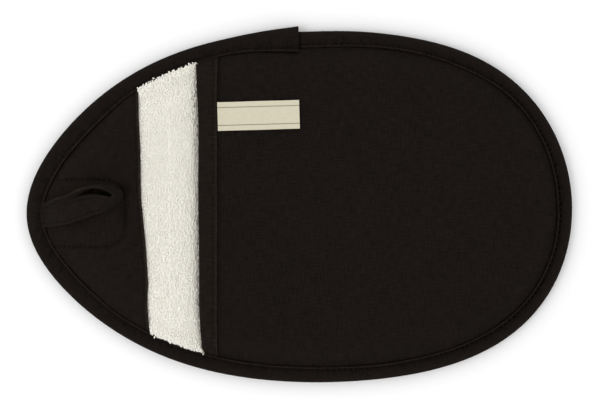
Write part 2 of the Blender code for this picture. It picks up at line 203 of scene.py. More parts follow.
def newPiece(name, points, faces, flat, finish, weld=1e-6, sharp=55, tone=None):
    # object at the origin whose place is in its mesh; flat is the cloth map, in metres;
    # tone is how much lighter (above 0) or darker (below 0) the cloth is at each point,
    # mostly painted light and shade
    mesh = bpy.data.meshes.new(name)
    mesh.from_pydata(np.asarray(points, float).reshape(-1, 3).tolist(), [], [list(f) for f in faces])
    corner = np.zeros(len(mesh.loops), int)
    mesh.loops.foreach_get("vertex_index", corner)
    layer = mesh.uv_layers.new(name="cloth")
    spots = np.asarray(flat, float).reshape(-1, 2)[corner]
    layer.data.foreach_set("uv", spots.astype(np.float32).ravel())
    paintedShading = mesh.attributes.new("tone", "FLOAT", "POINT")
    shade = np.zeros(len(mesh.vertices)) if tone is None else np.ravel(tone)
    paintedShading.data.foreach_set("value", shade.astype(np.float32))
    shape = bmesh.new()
    shape.from_mesh(mesh)
    if weld:
        bmesh.ops.remove_doubles(shape, verts=shape.verts, dist=weld)
        bmesh.ops.recalc_face_normals(shape, faces=shape.faces)
    shape.to_mesh(mesh)
    shape.free()
    mesh.shade_smooth()
    mesh.set_sharp_from_angle(angle=np.radians(sharp))
    mesh.materials.append(finish)
    return addObject(name, mesh)


def pillowFaces(rows, cols):
    # two grids of one shape, the second face down, joined round their border
    size = rows * cols
    border = borderOf(rows, cols)
    ahead = np.roll(border, -1)
    sides = np.stack([border + size, ahead + size, ahead, border], -1)
    return np.concatenate([gridQuads(rows, cols), gridQuads(rows, cols, size, flip=True), sides])


def closedSheet(name, top, bottom, flat, finish, tone=None):
    # a closed piece from its upper and lower surface; only the upper one carries tone
    points = np.concatenate([top.reshape(-1, 3), bottom.reshape(-1, 3)])
    shade = None if tone is None else np.append(np.ravel(tone), np.zeros(tone.size))
    flat = np.tile(flat.reshape(-1, 2), (2, 1))
    return newPiece(name, points, pillowFaces(*top.shape[:2]), flat, finish, tone=shade)


def tubesAlong(paths, radius, sides):
    # a tube round each path: rings at right angles to the path, and the point numbers of both end rings
    ahead = np.gradient(paths, axis=1)
    ahead /= np.linalg.norm(ahead, axis=-1, keepdims=True) + 1e-12
    up = np.array([0.0, 0.0, 1.0])
    side = np.cross(ahead, up)
    side /= np.linalg.norm(side, axis=-1, keepdims=True) + 1e-9
    lift = np.cross(side, ahead)
    turn = np.arange(sides) * twoPi / sides
    ring = side[:, :, None] * np.cos(turn)[:, None] + lift[:, :, None] * np.sin(turn)[:, None]
    points = paths[:, :, None, :] + ring * radius[..., None, None]
    count, steps = paths.shape[:2]
    one = gridQuads(steps, sides, closeCols=True, flip=True)
    faces = (one[None] + (np.arange(count) * steps * sides)[:, None, None]).reshape(-1, 4)
    caps = np.arange(sides)[None] + (np.arange(count) * steps * sides)[:, None]
    return points.reshape(-1, 3), faces, caps, caps + (steps - 1) * sides


def rolledStrip(rows, cols):
    # faces of a strip whose columns go out over it and back beneath it, with both of its ends closed
    ring = np.arange(cols // 2 - 1)
    end = np.stack([ring, ring + 1, cols - 2 - ring, cols - 1 - ring], -1)
    return np.concatenate([gridQuads(rows, cols, closeCols=True), end, end[:, ::-1] + (rows - 1) * cols])


def clothMap(run, across):
    # map of a strip: run along it, distance across it
    return np.stack(np.broadcast_arrays(run[:, None], across[None, :]), -1)


def sew(piece, stands=(), body=None):
    # a piece on one half rides on it, a piece on both keeps its place with its transform baked in
    if body:
        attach(piece, body)
    else:
        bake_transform(piece)
    if stands:
        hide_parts(*stands)


def newFinish(name, roughness, sheen=0.0, sheenColour=(1, 1, 1), specular=0.3):
    # the plain shader that every finish starts from
    finish = bpy.data.materials.new(name)
    finish.use_nodes = True
    shader = finish.node_tree.nodes["Principled BSDF"]
    settings = {"Roughness": roughness, "Specular IOR Level": specular, "Sheen Weight": sheen,
                "Sheen Roughness": 0.5, "Sheen Tint": (*sheenColour, 1)}
    for socket, value in settings.items():
        shader.inputs[socket].default_value = value
    return finish, finish.node_tree, shader


def addNode(tree, kind, **values):
    # a node whose named inputs or settings are given; a value that is a socket is linked
    made = tree.nodes.new("ShaderNode" + kind)
    for name, value in values.items():
        if name in made.bl_rna.properties and not name[0].isupper():
            setattr(made, name, value)
            continue
        slot = made.inputs[int(name[2:])] if name.startswith("In") else made.inputs[name.replace("_", " ")]
        if isinstance(value, bpy.types.NodeSocket):
            tree.links.new(value, slot)
        else:
            slot.default_value = value
    return made


def maths(tree, kind, *values):
    # one step of arithmetic on sockets or numbers
    return addNode(tree, "Math", operation=kind, **{f"In{n}": v for n, v in enumerate(values)}).outputs[0]


def painted(tree, share, below, above):
    # below where share is 0, above where it is 1
    return addNode(tree, "Mix", data_type="RGBA", In0=share, In6=below, In7=(*above, 1)).outputs[2]


def ownMap(tree):
    # the piece's own cloth map, in metres
    return addNode(tree, "UVMap", uv_map="cloth").outputs["UV"]


def speckle(tree, place, scale, detail, **more):
    # noise with scale specks to the unit and so many finer layers
    return addNode(tree, "TexNoise", Vector=place, Scale=scale, Detail=detail, **more).outputs["Fac"]


def blendColours(tree, share, low, high, start=0.0, end=1.0):
    # low colour up to start, high colour from end, straight between
    ramp = addNode(tree, "ValToRGB", Fac=share)
    for stop, place, colour in zip(ramp.color_ramp.elements, (start, end), (low, high)):
        stop.position = place
        stop.color = (*colour, 1)
    return ramp.outputs["Color"]


def dressShader(tree, shader, colour, height, strength, distance):
    # colour and relief go to the shader
    tree.links.new(colour, shader.inputs["Base Color"])
    bump = addNode(tree, "Bump", Strength=strength, Distance=distance, Height=height)
    tree.links.new(bump.outputs["Normal"], shader.inputs["Normal"])


def weave(tree, place):
    # plain weave: the size of a sine along one way or the other, by turns of a checkerboard
    split = addNode(tree, "SeparateXYZ", Vector=place)
    rounds = []
    for axis in ("X", "Y"):
        wave = maths(tree, "SINE", maths(tree, "MULTIPLY", split.outputs[axis], float(np.pi)))
        rounds.append(maths(tree, "ABSOLUTE", wave))
    over = addNode(tree, "TexChecker", Vector=place, Scale=1.0).outputs["Fac"]
    return addNode(tree, "Mix", data_type="FLOAT", In0=over, In2=rounds[0], In3=rounds[1]).outputs[0]


def clothFinish(name, colour, look):
    # woven cotton: slubs both ways, fibre, threads and patches added up, spread over the look's range,
    # times one plus tone, which is mostly painted light and shade
    settings = [look[key] for key in ("roughness", "sheen", "sheenColour", "specular")]
    finish, tree, shader = newFinish(name, *settings)
    metres = ownMap(tree)
    place = addNode(tree, "Mapping", Vector=ownMap(tree), Rotation=(0, 0, np.radians(look["turn"])),
                    Scale=(1 / look["pitch"], 1 / look["pitch"], 1)).outputs["Vector"]
    threads = weave(tree, place)
    patch = speckle(tree, metres, 1 / look["patch"], 4.0, Roughness=0.55)
    fibre = speckle(tree, metres, 1 / look["fibre"], 3.0, Roughness=0.6)
    slubs = []
    for long, wide in ((look["slubLong"], look["slubWide"]), (look["slubWide"], look["slubLong"])):
        run = addNode(tree, "Mapping", Vector=metres, Scale=(1 / long, 1 / wide, 1))
        slubs.append(speckle(tree, run.outputs["Vector"], 1.0, 2.0))
    total = maths(tree, "ADD", slubs[0], slubs[1])
    for part, share in ((fibre, 0.55), (threads, 0.22), (patch, 0.22)):
        total = maths(tree, "MULTIPLY_ADD", part, share, total)
    ramp = addNode(tree, "MapRange", Value=total, From_Min=1.15, From_Max=1.85, To_Min=look["range"][0],
                   To_Max=look["range"][1]).outputs[0]
    # the painted light and shade carried by tone
    paintedShading = addNode(tree, "Attribute", attribute_name="tone").outputs["Fac"]
    shade = maths(tree, "MULTIPLY_ADD", paintedShading, ramp, ramp)
    dyed = addNode(tree, "VectorMath", operation="SCALE", Vector=colour, Scale=shade).outputs["Vector"]
    rough = addNode(tree, "MapRange", Value=fibre, To_Min=look["roughness"] - 0.12,
                    To_Max=look["roughness"] + 0.08)
    tree.links.new(rough.outputs[0], shader.inputs["Roughness"])
    relief = maths(tree, "MULTIPLY_ADD", fibre, 0.6, threads)
    dressShader(tree, shader, dyed, relief, look["bump"], look["pitch"] * 0.3)
    return finish


cottonLook = {
    "pitch": 0.42 * mm, "turn": 0.0, "patch": 22 * mm, "fibre": 0.9 * mm, "range": (0.50, 1.48),
    "slubLong": 5.5 * mm, "slubWide": 0.55 * mm,
    "roughness": 0.86, "sheen": 0.0, "sheenColour": (1.0, 0.95, 0.9), "specular": 0.05, "bump": 0.5,
}
blackDye = (0.0081, 0.0057, 0.0044)
coverCotton = clothFinish("coverCotton", blackDye, cottonLook)
biasCotton = clothFinish("biasCotton", blackDye, {**cottonLook, "turn": 45.0})
tapeCotton = clothFinish("tapeCotton", (0.0096, 0.0070, 0.0055), {**cottonLook, "pitch": 0.36 * mm})
liningCotton = clothFinish("liningCotton", (0.012, 0.010, 0.009), {**cottonLook, "pitch": 0.55 * mm})
towelBase = clothFinish("towelBase", (0.93, 0.90, 0.82), {
    **cottonLook, "pitch": 0.8 * mm, "range": (0.95, 1.03), "sheenColour": (1, 1, 1), "patch": 9 * mm,
    "bump": 0.8,
})


def towelLoopFinish():
    # undyed cotton yarn, each loop a little different; tone paints the band's shade on it in brown
    finish, tree, shader = newFinish("towelLoops", 0.9, 0.25, (1.0, 0.98, 0.94), 0.2)
    metres = ownMap(tree)
    yarn = speckle(tree, metres, 900.0, 2.0)
    patch = speckle(tree, metres, 70.0, 3.0)
    both = maths(tree, "MULTIPLY_ADD", yarn, 0.6, patch)
    plainColour = blendColours(tree, both, (0.95, 0.925, 0.845), (1.0, 0.985, 0.925), 0.5, 1.0)
    paintedShading = addNode(tree, "Attribute", attribute_name="tone").outputs["Fac"]
    # painted shade of the band, in brown
    bandShade = painted(tree, paintedShading, plainColour, (0.30, 0.21, 0.11))
    dressShader(tree, shader, bandShade, yarn, 0.4, 0.1 * mm)
    return finish


def threadFinish():
    # twisted sewing thread: slanted ply lines along each stitch
    finish, tree, shader = newFinish("stitchThread", 0.7, 0.0, (1, 1, 1), 0.08)
    ply = addNode(tree, "TexWave", Vector=ownMap(tree), Scale=420.0, Distortion=0.4,
                  bands_direction="DIAGONAL").outputs["Fac"]
    dyed = blendColours(tree, ply, (0.0030, 0.0022, 0.0018), (0.0095, 0.0070, 0.0055))
    dressShader(tree, shader, dyed, ply, 0.5, 0.1 * mm)
    return finish


# a plain line near each long edge
satin = {"lineAt": 4.4 * mm, "lineFull": 0.18 * mm, "lineGone": 0.30 * mm}


def labelFinish():
    # satin ribbon: long floating threads one way, a quarter of the ribs the other, and the two darker lines
    finish, tree, shader = newFinish("labelSatin", 0.42, 0.15, (1.0, 0.97, 0.88), 0.4)
    metres = ownMap(tree)
    split = addNode(tree, "SeparateXYZ", Vector=metres)
    drawn = addNode(tree, "Mapping", Vector=metres, Scale=(350, 9000, 1)).outputs["Vector"]
    floats = speckle(tree, drawn, 1.0, 2.0)
    ribs = addNode(tree, "TexWave", Vector=metres, Scale=900.0, bands_direction="X").outputs["Fac"]
    tone = maths(tree, "MULTIPLY_ADD", ribs, 0.25, floats)
    plainColour = blendColours(tree, tone, (0.478, 0.437, 0.322), (0.638, 0.595, 0.457), 0.3, 0.9)
    away = maths(tree, "ABSOLUTE", split.outputs["Y"])
    gap = maths(tree, "SUBTRACT", away, satin["lineAt"])
    near = maths(tree, "ABSOLUTE", gap)
    line = addNode(tree, "MapRange", Value=near, From_Min=satin["lineFull"], From_Max=satin["lineGone"],
                   To_Min=0.75, To_Max=0.0).outputs[0]
    inked = painted(tree, line, plainColour, (0.13, 0.11, 0.075))
    dressShader(tree, shader, inked, tone, 0.35, 0.1 * mm)
    return finish


def magnetFinish():
    # flexible magnet sheet: dark and slightly mottled
    finish, tree, shader = newFinish("magnetSheet", 0.55, 0.0, (1, 1, 1), 0.4)
    mottle = speckle(tree, addNode(tree, "TexCoord").outputs["Object"], 600.0, 4.0)
    dark = blendColours(tree, mottle, (0.018, 0.016, 0.014), (0.05, 0.045, 0.04))
    dressShader(tree, shader, dark, mottle, 0.3, 0.2 * mm)
    return finish


towelLoops = towelLoopFinish()
stitchThread = threadFinish()
labelSatin = labelFinish()
magnetSheet = magnetFinish()
print("finishes made")


def heightIn(inset, start, span, power, low, high):
    # rises from low at start to high at start plus span, steeply at first
    part = np.clip((inset - start) / span, 0, 1)
    return high - (high - low) * (1 - part) ** power


def ovalGrid(alongCount, acrossCount, inset, leftX, rightX, mouth=None):
    # grid over the oval moved in by inset: rows bunch up at its round ends, each point a fixed share of the
    # local half width; where a mouth line is given, the rows near it take its shape
    rimX, middle, half = rimSides(inset)
    left, right = max(leftX, rimX[0]), min(rightX, rimX[-1])
    centre, reach = (rimX[0] + rimX[-1]) / 2, (rimX[-1] - rimX[0]) / 2
    ends = np.arccos(np.clip((np.array([left, right]) - centre) / reach, -1, 1))
    rows = centre + reach * np.cos(np.linspace(ends[0], ends[1], alongCount))
    share = np.sin(np.linspace(-1, 1, acrossCount) * 1.3) / np.sin(1.3)
    base = np.repeat(rows[:, None], acrossCount, 1)
    x = base
    y = np.interp(x, rimX, middle) + share * np.interp(x, rimX, half)
    if mouth:
        line, level, bend = mouth
        pull = eased(level + bend, level, base)
        for again in range(6):
            x = base + (line(y) - level) * pull
            y = np.interp(x, rimX, middle) + share * np.interp(x, rimX, half)
    return x, y


def fineIndex(count, step):
    # every step-th index, with both ends kept
    return np.unique(np.append(np.arange(0, count, step), count - 1))


airSettings = {
    "quality": 6, "mass": 0.25, "tension_stiffness": 20, "compression_stiffness": 20,
    "use_pressure": True, "vertex_group_mass": "sewn",
}


def stretched(field, kept, count, axis):
    # straight lines between the kept indices, along one axis
    return np.apply_along_axis(lambda line: np.interp(np.arange(count), kept, line), axis, field)


def blowUp(top, bottom, inset, air):
    # a coarse closed copy is filled with air by cloth simulation, held at its sewn edge,
    # and what it moved is spread back over the fine grid and added to it
    rows, cols = top.shape[:2]
    keepRows, keepCols = fineIndex(rows, air["step"]), fineIndex(cols, air["step"])
    pick = np.ix_(keepRows, keepCols)
    count = len(keepRows) * len(keepCols)
    start = np.concatenate([top[pick].reshape(-1, 3), bottom[pick].reshape(-1, 3)])
    mesh = bpy.data.meshes.new("airTrial")
    mesh.from_pydata(start.tolist(), [], pillowFaces(len(keepRows), len(keepCols)).tolist())
    trial = addObject("airTrial", mesh)
    group = trial.vertex_groups.new(name="sewn")
    sewn = 1 - eased(air["heldTo"], air["freeFrom"], np.tile(inset[pick].ravel(), 2))
    for level in np.unique(np.round(sewn, 1)):
        if level > 0:
            group.add(np.nonzero(np.round(sewn, 1) == level)[0].tolist(), float(level), "REPLACE")
    cloth = trial.modifiers.new("air", "CLOTH")
    own = {"bending_stiffness": air["stiff"], "uniform_pressure_force": air["pressure"]}
    for name, value in {**airSettings, **own}.items():
        setattr(cloth.settings, name, value)
    cloth.settings.effector_weights.gravity = 0
    cloth.point_cache.frame_end = air["frames"]
    for number in range(1, air["frames"] + 1):
        bpy.context.scene.frame_set(number)
    moved = np.zeros(len(start) * 3)
    trial.evaluated_get(bpy.context.evaluated_depsgraph_get()).data.vertices.foreach_get("co", moved)
    shift = moved.reshape(-1, 3) - start
    length = np.linalg.norm(shift, axis=1, keepdims=True) + 1e-12
    shift *= air["cap"] * np.tanh(length / air["cap"]) / length
    bpy.data.objects.remove(trial)
    bpy.context.scene.frame_set(1)
    print("  air moved the cloth by up to", round(float(np.abs(shift).max() / mm), 2), "mm")
    blown = []
    for skin, part in ((top, shift[:count]), (bottom, shift[count:])):
        part = part.reshape(len(keepRows), len(keepCols), 3)
        part = stretched(stretched(part, keepRows, rows, 0), keepCols, cols, 1)
        blown.append(skin + soften(part, 3))
    return blown


def soften(field, times):
    # each point takes the mean of itself and its neighbours, the border excepted
    for again in range(times):
        inner = field[1:-1, 1:-1]
        near = (field[:-2, 1:-1] + field[2:, 1:-1] + field[1:-1, :-2] + field[1:-1, 2:]) / 4
        field = field.copy()
        field[1:-1, 1:-1] = (inner + near) / 2
    return field


def puckers(inset, run, start, reach, size, seed):
    # short gathers that run in from the sewn edge and fade out
    fade = np.exp(-np.clip(inset - start, 0, None) / reach)
    drift = wavesAlong(run, 60 * mm, seed) * 2.5
    gather = np.sin(twoPi * run / size + drift) * (0.6 + 0.4 * wavesAlong(run, 35 * mm, seed + 1, 0.3))
    return gather * fade


def looseCloth(x, y, inset, run, look):
    # long and short soft waves, gathers at the sewn edge, and how free of that edge the cloth is
    long, short, share = look["waves"]
    first, second, third = look["seeds"]
    soft = waves(x, y, long, first) * share + waves(x, y, short, second) * (1 - share)
    gather = puckers(inset, run, *look["gathers"], third)
    return soft * look["wrinkle"], gather * look["pucker"], eased(*look["free"], inset)


backPad = {
    "tuck": 3.0 * mm, "edgeLow": 1.75 * mm, "edgeHigh": 3.1 * mm, "thick": 4.0 * mm,
    "span": 9 * mm, "power": 2.2, "grid": (200, 130),
    "waves": (34 * mm, 15 * mm, 0.7), "gathers": (7 * mm, 5 * mm, 6.5 * mm), "free": (7 * mm, 12 * mm),
    "wrinkle": 0.12 * mm, "pucker": 0.16 * mm, "seeds": (12, 13, 11),
    "bed": 0.05 * mm,   # how far the underside lies off the floor
    "air": {"step": 3, "heldTo": 6 * mm, "freeFrom": 14 * mm, "pressure": 3.0, "stiff": 2.0,
            "frames": 16, "cap": 0.7 * mm},
}


def makeBackPad():
    # underside flat on its bed, rising to the sewn edge; the hidden top carries the terry
    look = backPad
    x, y = ovalGrid(*look["grid"], look["tuck"], -1, 1)
    inset, which = nearestOn(x, y, rimPoint)
    low = heightIn(inset, sewnEdge, look["span"], look["power"], look["edgeLow"], look["bed"])
    high = heightIn(inset, sewnEdge, look["span"], look["power"], look["edgeHigh"], look["thick"])
    soft, gather, free = looseCloth(x, y, inset, rimRun[which], look)
    low = low + (np.clip(soft, 0, None) + np.abs(gather)) * free
    top, bottom = np.stack([x, y, high], -1), np.stack([x, y, low], -1)
    bottom = blowUp(top, bottom, inset, look["air"])[1]
    bottom[..., 2] = np.maximum(bottom[..., 2], 0.02 * mm)
    piece = closedSheet("backPad", top, bottom, np.stack([x, y], -1), coverCotton)
    sew(piece, ("back_cover_finger_side", "back_cover_thumb_side",
                               "back_wadding_finger_side", "back_wadding_thumb_side"))


makeBackPad()
print("back pad made")


fingerPocket = {
    "tuck": 4.5 * mm, "mouth": -48.4 * mm, "sweep": 1.4 * mm, "edgeLow": 4.3 * mm, "edgeHigh": 6.1 * mm,
    "low": 12.2 * mm, "high": 16.35 * mm, "span": 20.7 * mm, "power": 2.9, "round": 2.0 * mm,
    "waves": (42 * mm, 17 * mm, 0.65), "gathers": (8 * mm, 5 * mm, 7 * mm), "free": (7 * mm, 14 * mm),
    "wrinkle": 0.16 * mm, "pucker": 0.2 * mm, "seeds": (41, 42, 43), "grid": (190, 130),
    "air": {"step": 3, "heldTo": 8 * mm, "freeFrom": 20 * mm, "pressure": 3.5, "stiff": 1.5,
            "frames": 18, "cap": 0.9 * mm},
}
thumbPocket = {
    "tuck": 4.5 * mm, "mouth": -77.0 * mm, "slant": 0.057, "bay": 1.0 * mm, "drawn": 1.1 * mm,
    "settle": 2.4 * mm, "edgeLow": 4.3 * mm, "edgeHigh": 6.1 * mm,
    "low": 11.0 * mm, "high": 15.4 * mm, "span": 20.7 * mm, "power": 2.5, "round": 1.6 * mm,
    # painted shadow of the loop's bend on the cloth: middle x and y, half sizes, how dark
    "loopShadow": ((-87.2, 7.8, 3.6, 4.2, 0.5), (-87.0, -2.5, 2.6, 7.0, 0.32)),
    "waves": (30 * mm, 13 * mm, 0.65), "gathers": (8 * mm, 4.5 * mm, 6.5 * mm), "free": (7 * mm, 13 * mm),
    "wrinkle": 0.14 * mm, "pucker": 0.2 * mm, "seeds": (51, 52, 53), "grid": (150, 200),
    "air": {"step": 3, "heldTo": 8 * mm, "freeFrom": 16 * mm, "pressure": 3.0, "stiff": 1.5,
            "frames": 16, "cap": 0.6 * mm},
}


def fingerMouthAt(y):
    # the mouth of the finger pocket sweeps back at one end and forward at the other
    return fingerPocket["mouth"] - fingerPocket["sweep"] * (y / (68 * mm)) ** 3


def thumbMouthAt(y):
    # the mouth of the thumb pocket slants, and is drawn back a little by the loop
    bay = hump(y, 4 * mm, 17 * mm) * thumbPocket["bay"]
    drawn = eased(-36 * mm, -52 * mm, y) * thumbPocket["drawn"]
    return thumbPocket["mouth"] - thumbPocket["slant"] * y - bay - drawn


terry = {
    "tuck": 4.0 * mm, "thick": 1.0 * mm, "edge": 3.6 * mm, "level": 6.0 * mm,
    "rimRise": 3.1 * mm, "plump": 4.0 * mm,
    "loopPitch": 0.82 * mm, "loopHigh": 1.1 * mm, "loopWide": 1.35 * mm, "yarn": 0.26 * mm,
    "loopSteps": 5, "loopSides": 4, "sunk": 0.18 * mm,
    "bareFrom": -84 * mm, "bareTo": -43 * mm, "reach": 88 * mm, "grid": (200, 120),
}


def terryHeight(x, y, inset):
    # ground cloth: plump between the two mouths, low inside the pockets, up at the sewn edge
    level = heightIn(inset, 7.0 * mm, 6.5 * mm, 2.2, terry["edge"], terry["level"])
    inside = (1 + 5 * eased(10 * mm, 16 * mm, inset)) * mm
    fromThumb, toFinger = x - thumbMouthAt(y), fingerMouthAt(y) - x
    bare = eased(0, 2.2 * mm, fromThumb + inside) * eased(-1.4 * mm, 1.2 * mm, toFinger)
    rim = eased(5.6 * mm, 7.2 * mm, inset) * (1 - eased(8 * mm, 14 * mm, inset))
    plump = terry["plump"] * eased(9 * mm, 24 * mm, inset)
    plump = plump * (1 - 0.45 * eased(4.5 * mm, 0.5 * mm, toFinger))
    return level + bare * (terry["rimRise"] * rim + plump) + waves(x, y, 16 * mm, 21) * 0.14 * mm


def makeTerryLining():
    # terryHeight above, its own thickness lower beneath, shaded at the band
    x, y = ovalGrid(*terry["grid"], terry["tuck"], -1, 1)
    inset, which = nearestOn(x, y, rimPoint)
    high = terryHeight(x, y, inset)
    top = np.stack([x, y, high], -1)
    bottom = np.stack([x, y, high - terry["thick"]], -1)
    bottom[..., 2] = np.maximum(bottom[..., 2], 3.15 * mm)
    # painted shade where the terry runs in under the band
    shade = -0.85 * eased(-3.5 * mm, 0, x - fingerMouthAt(y))
    piece = closedSheet("terryLining", top, bottom, np.stack([x, y], -1), towelBase, tone=shade)
    sew(piece, ("terry_lining_finger_side", "terry_lining_thumb_side"))


def makeTerryLoops(name, fromX, toX, seed):
    # small arches of yarn on a jittered grid: a sine to the power 0.7, each leaning its own way,
    # and those by the binding over it
    dice = np.random.default_rng(seed)
    pitch = terry["loopPitch"]
    half = terry["reach"]
    gx, gy = np.meshgrid(np.arange(fromX, toX, pitch), np.arange(-half, half, pitch), indexing="ij")
    gx = (gx + dice.uniform(-0.45, 0.45, gx.shape) * pitch).ravel()
    gy = (gy + dice.uniform(-0.45, 0.45, gy.shape) * pitch).ravel()
    inset, which = nearestOn(gx, gy, rimPoint)
    inside = (rimInward[which] * (np.stack([gx, gy], -1) - rimPoint[which])).sum(-1) > 0
    rim = 1 - eased(11 * mm, 18 * mm, inset)
    keep = inside & (inset > sewnEdge) & (gx > thumbMouthAt(gy) - (2.4 - 3.0 * rim) * mm)
    keep &= gx < fingerMouthAt(gy) + (3 - 3.6 * rim) * mm
    gx, gy, inset, which = gx[keep], gy[keep], inset[keep], which[keep]
    count = len(gx)
    turn = np.pi / 2 + dice.normal(0, 0.5, count)
    wide = terry["loopWide"] * dice.uniform(0.7, 1.25, count)
    high = terry["loopHigh"] * dice.uniform(0.65, 1.25, count)
    lean = np.clip(dice.normal(0, 0.42, (count, 2)), -0.8, 0.8) * mm
    verge = 1 - eased(7.3 * mm, 8.9 * mm, inset)
    lean -= rimInward[which] * (verge * dice.uniform(0.1, 0.8, count))[:, None] * mm
    high = high + verge * dice.uniform(0.1, 0.6, count) * mm
    wide = wide * (1 - 0.4 * verge)
    ground = terryHeight(gx, gy, inset) - terry["sunk"]
    t = np.linspace(0, 1, terry["loopSteps"])
    arch = np.sin(np.pi * t) ** 0.7
    along = (t - 0.5)[None] * wide[:, None]
    x = gx[:, None] + np.cos(turn)[:, None] * along + lean[:, :1] * arch
    y = gy[:, None] + np.sin(turn)[:, None] * along + lean[:, 1:] * arch
    z = ground[:, None] + high[:, None] * arch
    paths = np.stack([x, y, z], -1)
    radius = terry["yarn"] * dice.uniform(0.85, 1.2, count)[:, None] * [0.7, 1.0, 1.1, 1.0, 0.7]
    points, faces, caps, farCaps = tubesAlong(paths, radius, terry["loopSides"])
    faces = np.concatenate([faces, caps, farCaps[:, ::-1]])
    each = terry["loopSteps"] * terry["loopSides"]
    flat = points[:, :2] + np.repeat(dice.uniform(0, 0.5, (count, 2)), each, 0)
    # painted shade on the loops near the band's mouth
    shaded = eased(-3.4 * mm, -0.4 * mm, gx - fingerMouthAt(gy)) * dice.uniform(0.0, 0.9, count)
    shaded = np.repeat(shaded, each)
    piece = newPiece(name, points, faces, flat, towelLoops, weld=0, sharp=180, tone=shaded)
    sew(piece)
    print("  ", name, count, "loops")


makeTerryLining()
makeTerryLoops("terryLoopsThumbSide", terry["bareFrom"], foldX, 31)
makeTerryLoops("terryLoopsFingerSide", foldX, terry["bareTo"], 32)
print("terry made")


magnetPocket = {
    "left": -124 * mm, "right": -86.0 * mm, "low": -20.3 * mm, "high": 12.6 * mm, "corner": 10 * mm,
    "dip": 0.8 * mm, "reach": 0.75 * mm, "raise": 0.5 * mm, "pitch": 2.6 * mm,
}


def padHeights(inset, look):
    # underside and top of a pocket at each distance in from the outline
    high = heightIn(inset, sewnEdge, look["span"], look["power"], look["edgeHigh"], look["high"])
    low = heightIn(inset, sewnEdge, look["span"], look["power"], look["edgeLow"], look["low"])
    return low, high


def magnetRow(count=900):
    # open U: straight, quarter turn, straight, quarter turn, straight, by even run
    m, corner = magnetPocket, magnetPocket["corner"]
    bend = np.linspace(0, np.pi / 2, 40)
    across = m["right"] - corner
    lower = np.stack([across + corner * np.sin(bend), m["low"] + corner * (1 - np.cos(bend))], -1)
    upper = np.stack([across + corner * np.cos(bend), m["high"] - corner * (1 - np.sin(bend))], -1)
    path = np.concatenate([[[m["left"], m["low"]]], lower, upper, [[m["left"], m["high"]]]])
    run = runOf(path)
    even = np.linspace(0, run[-1], count)
    return np.stack([np.interp(even, run, path[:, k]) for k in (0, 1)], -1), even


def mouthRound(low, high, away, radius):
    # the cloth turns over at the mouth: top and bottom close to their middle on a quarter round
    share = np.clip(away / radius, 0, 1)
    opened = np.sqrt(np.clip(1 - (1 - share) ** 2, 0, 1))
    middle = (low + high) / 2
    return middle + (low - middle) * opened, middle + (high - middle) * opened


def makeFingerPad():
    # pocket height plus soft waves and puckers, filled with air, with the painted shadow of the
    # band's seam and painted shade beside the binding
    look = fingerPocket
    x, y = ovalGrid(*look["grid"], look["tuck"], look["mouth"], 1, (fingerMouthAt, look["mouth"], 12 * mm))
    inset, which = nearestOn(x, y, rimPoint)
    low, high = padHeights(inset, look)
    soft, gather, free = looseCloth(x, y, inset, rimRun[which], look)
    high = high + (soft + gather) * free
    low, high = mouthRound(low, high, x - fingerMouthAt(y), look["round"])
    top, bottom = np.stack([x, y, high], -1), np.stack([x, y, low], -1)
    held = np.minimum(inset, x - fingerMouthAt(y) + 6 * mm)
    top, bottom = blowUp(top, bottom, held, look["air"])
    edge = 1 - eased(7.3 * mm, 8.3 * mm, inset - foldBeyond(rimRun[which]))
    # painted shadow beside the band's seam, painted shade beside the binding
    shade = -0.6 * hump(x, -40.0 * mm, 0.5 * mm) - 0.38 * edge
    piece = closedSheet("fingerPocketPad", top, bottom, np.stack([x, y], -1), coverCotton, tone=shade)
    sew(piece, ("finger_pocket_cover", "finger_pocket_wadding", "finger_pocket_lining"),
        "finger_half")


mouthRow = 1.7 * mm   # how far the topstitching lies from the thumb pocket's mouth


def thumbTop(x, y):
    # height of the thumb pocket's cover, with the magnet's raised field and the dimpled row round it
    look, m = thumbPocket, magnetPocket
    inset, which = nearestOn(x, y, rimPoint)
    low, high = padHeights(inset, look)
    soft, gather, free = looseCloth(x, y, inset, rimRun[which], look)
    high = high + (soft + gather) * free
    row, rowRun = magnetRow()
    away, near = nearestOn(x, y, row)
    inside = (x < m["right"]) & (y > m["low"]) & (y < m["high"])
    field = np.where(inside, eased(0, 4 * mm, away), 0)
    high = high + field * m["raise"] * free
    dimple = hump(away, 0, m["reach"]) * (0.62 + 0.38 * np.cos(twoPi * rowRun[near] / m["pitch"]))
    high = high - dimple * m["dip"] * free
    sunk = eased(14 * mm, 0, thumbMouthAt(y) - x) * eased(8 * mm, 16 * mm, inset)
    high = high - look["settle"] * sunk
    return inset, low, high


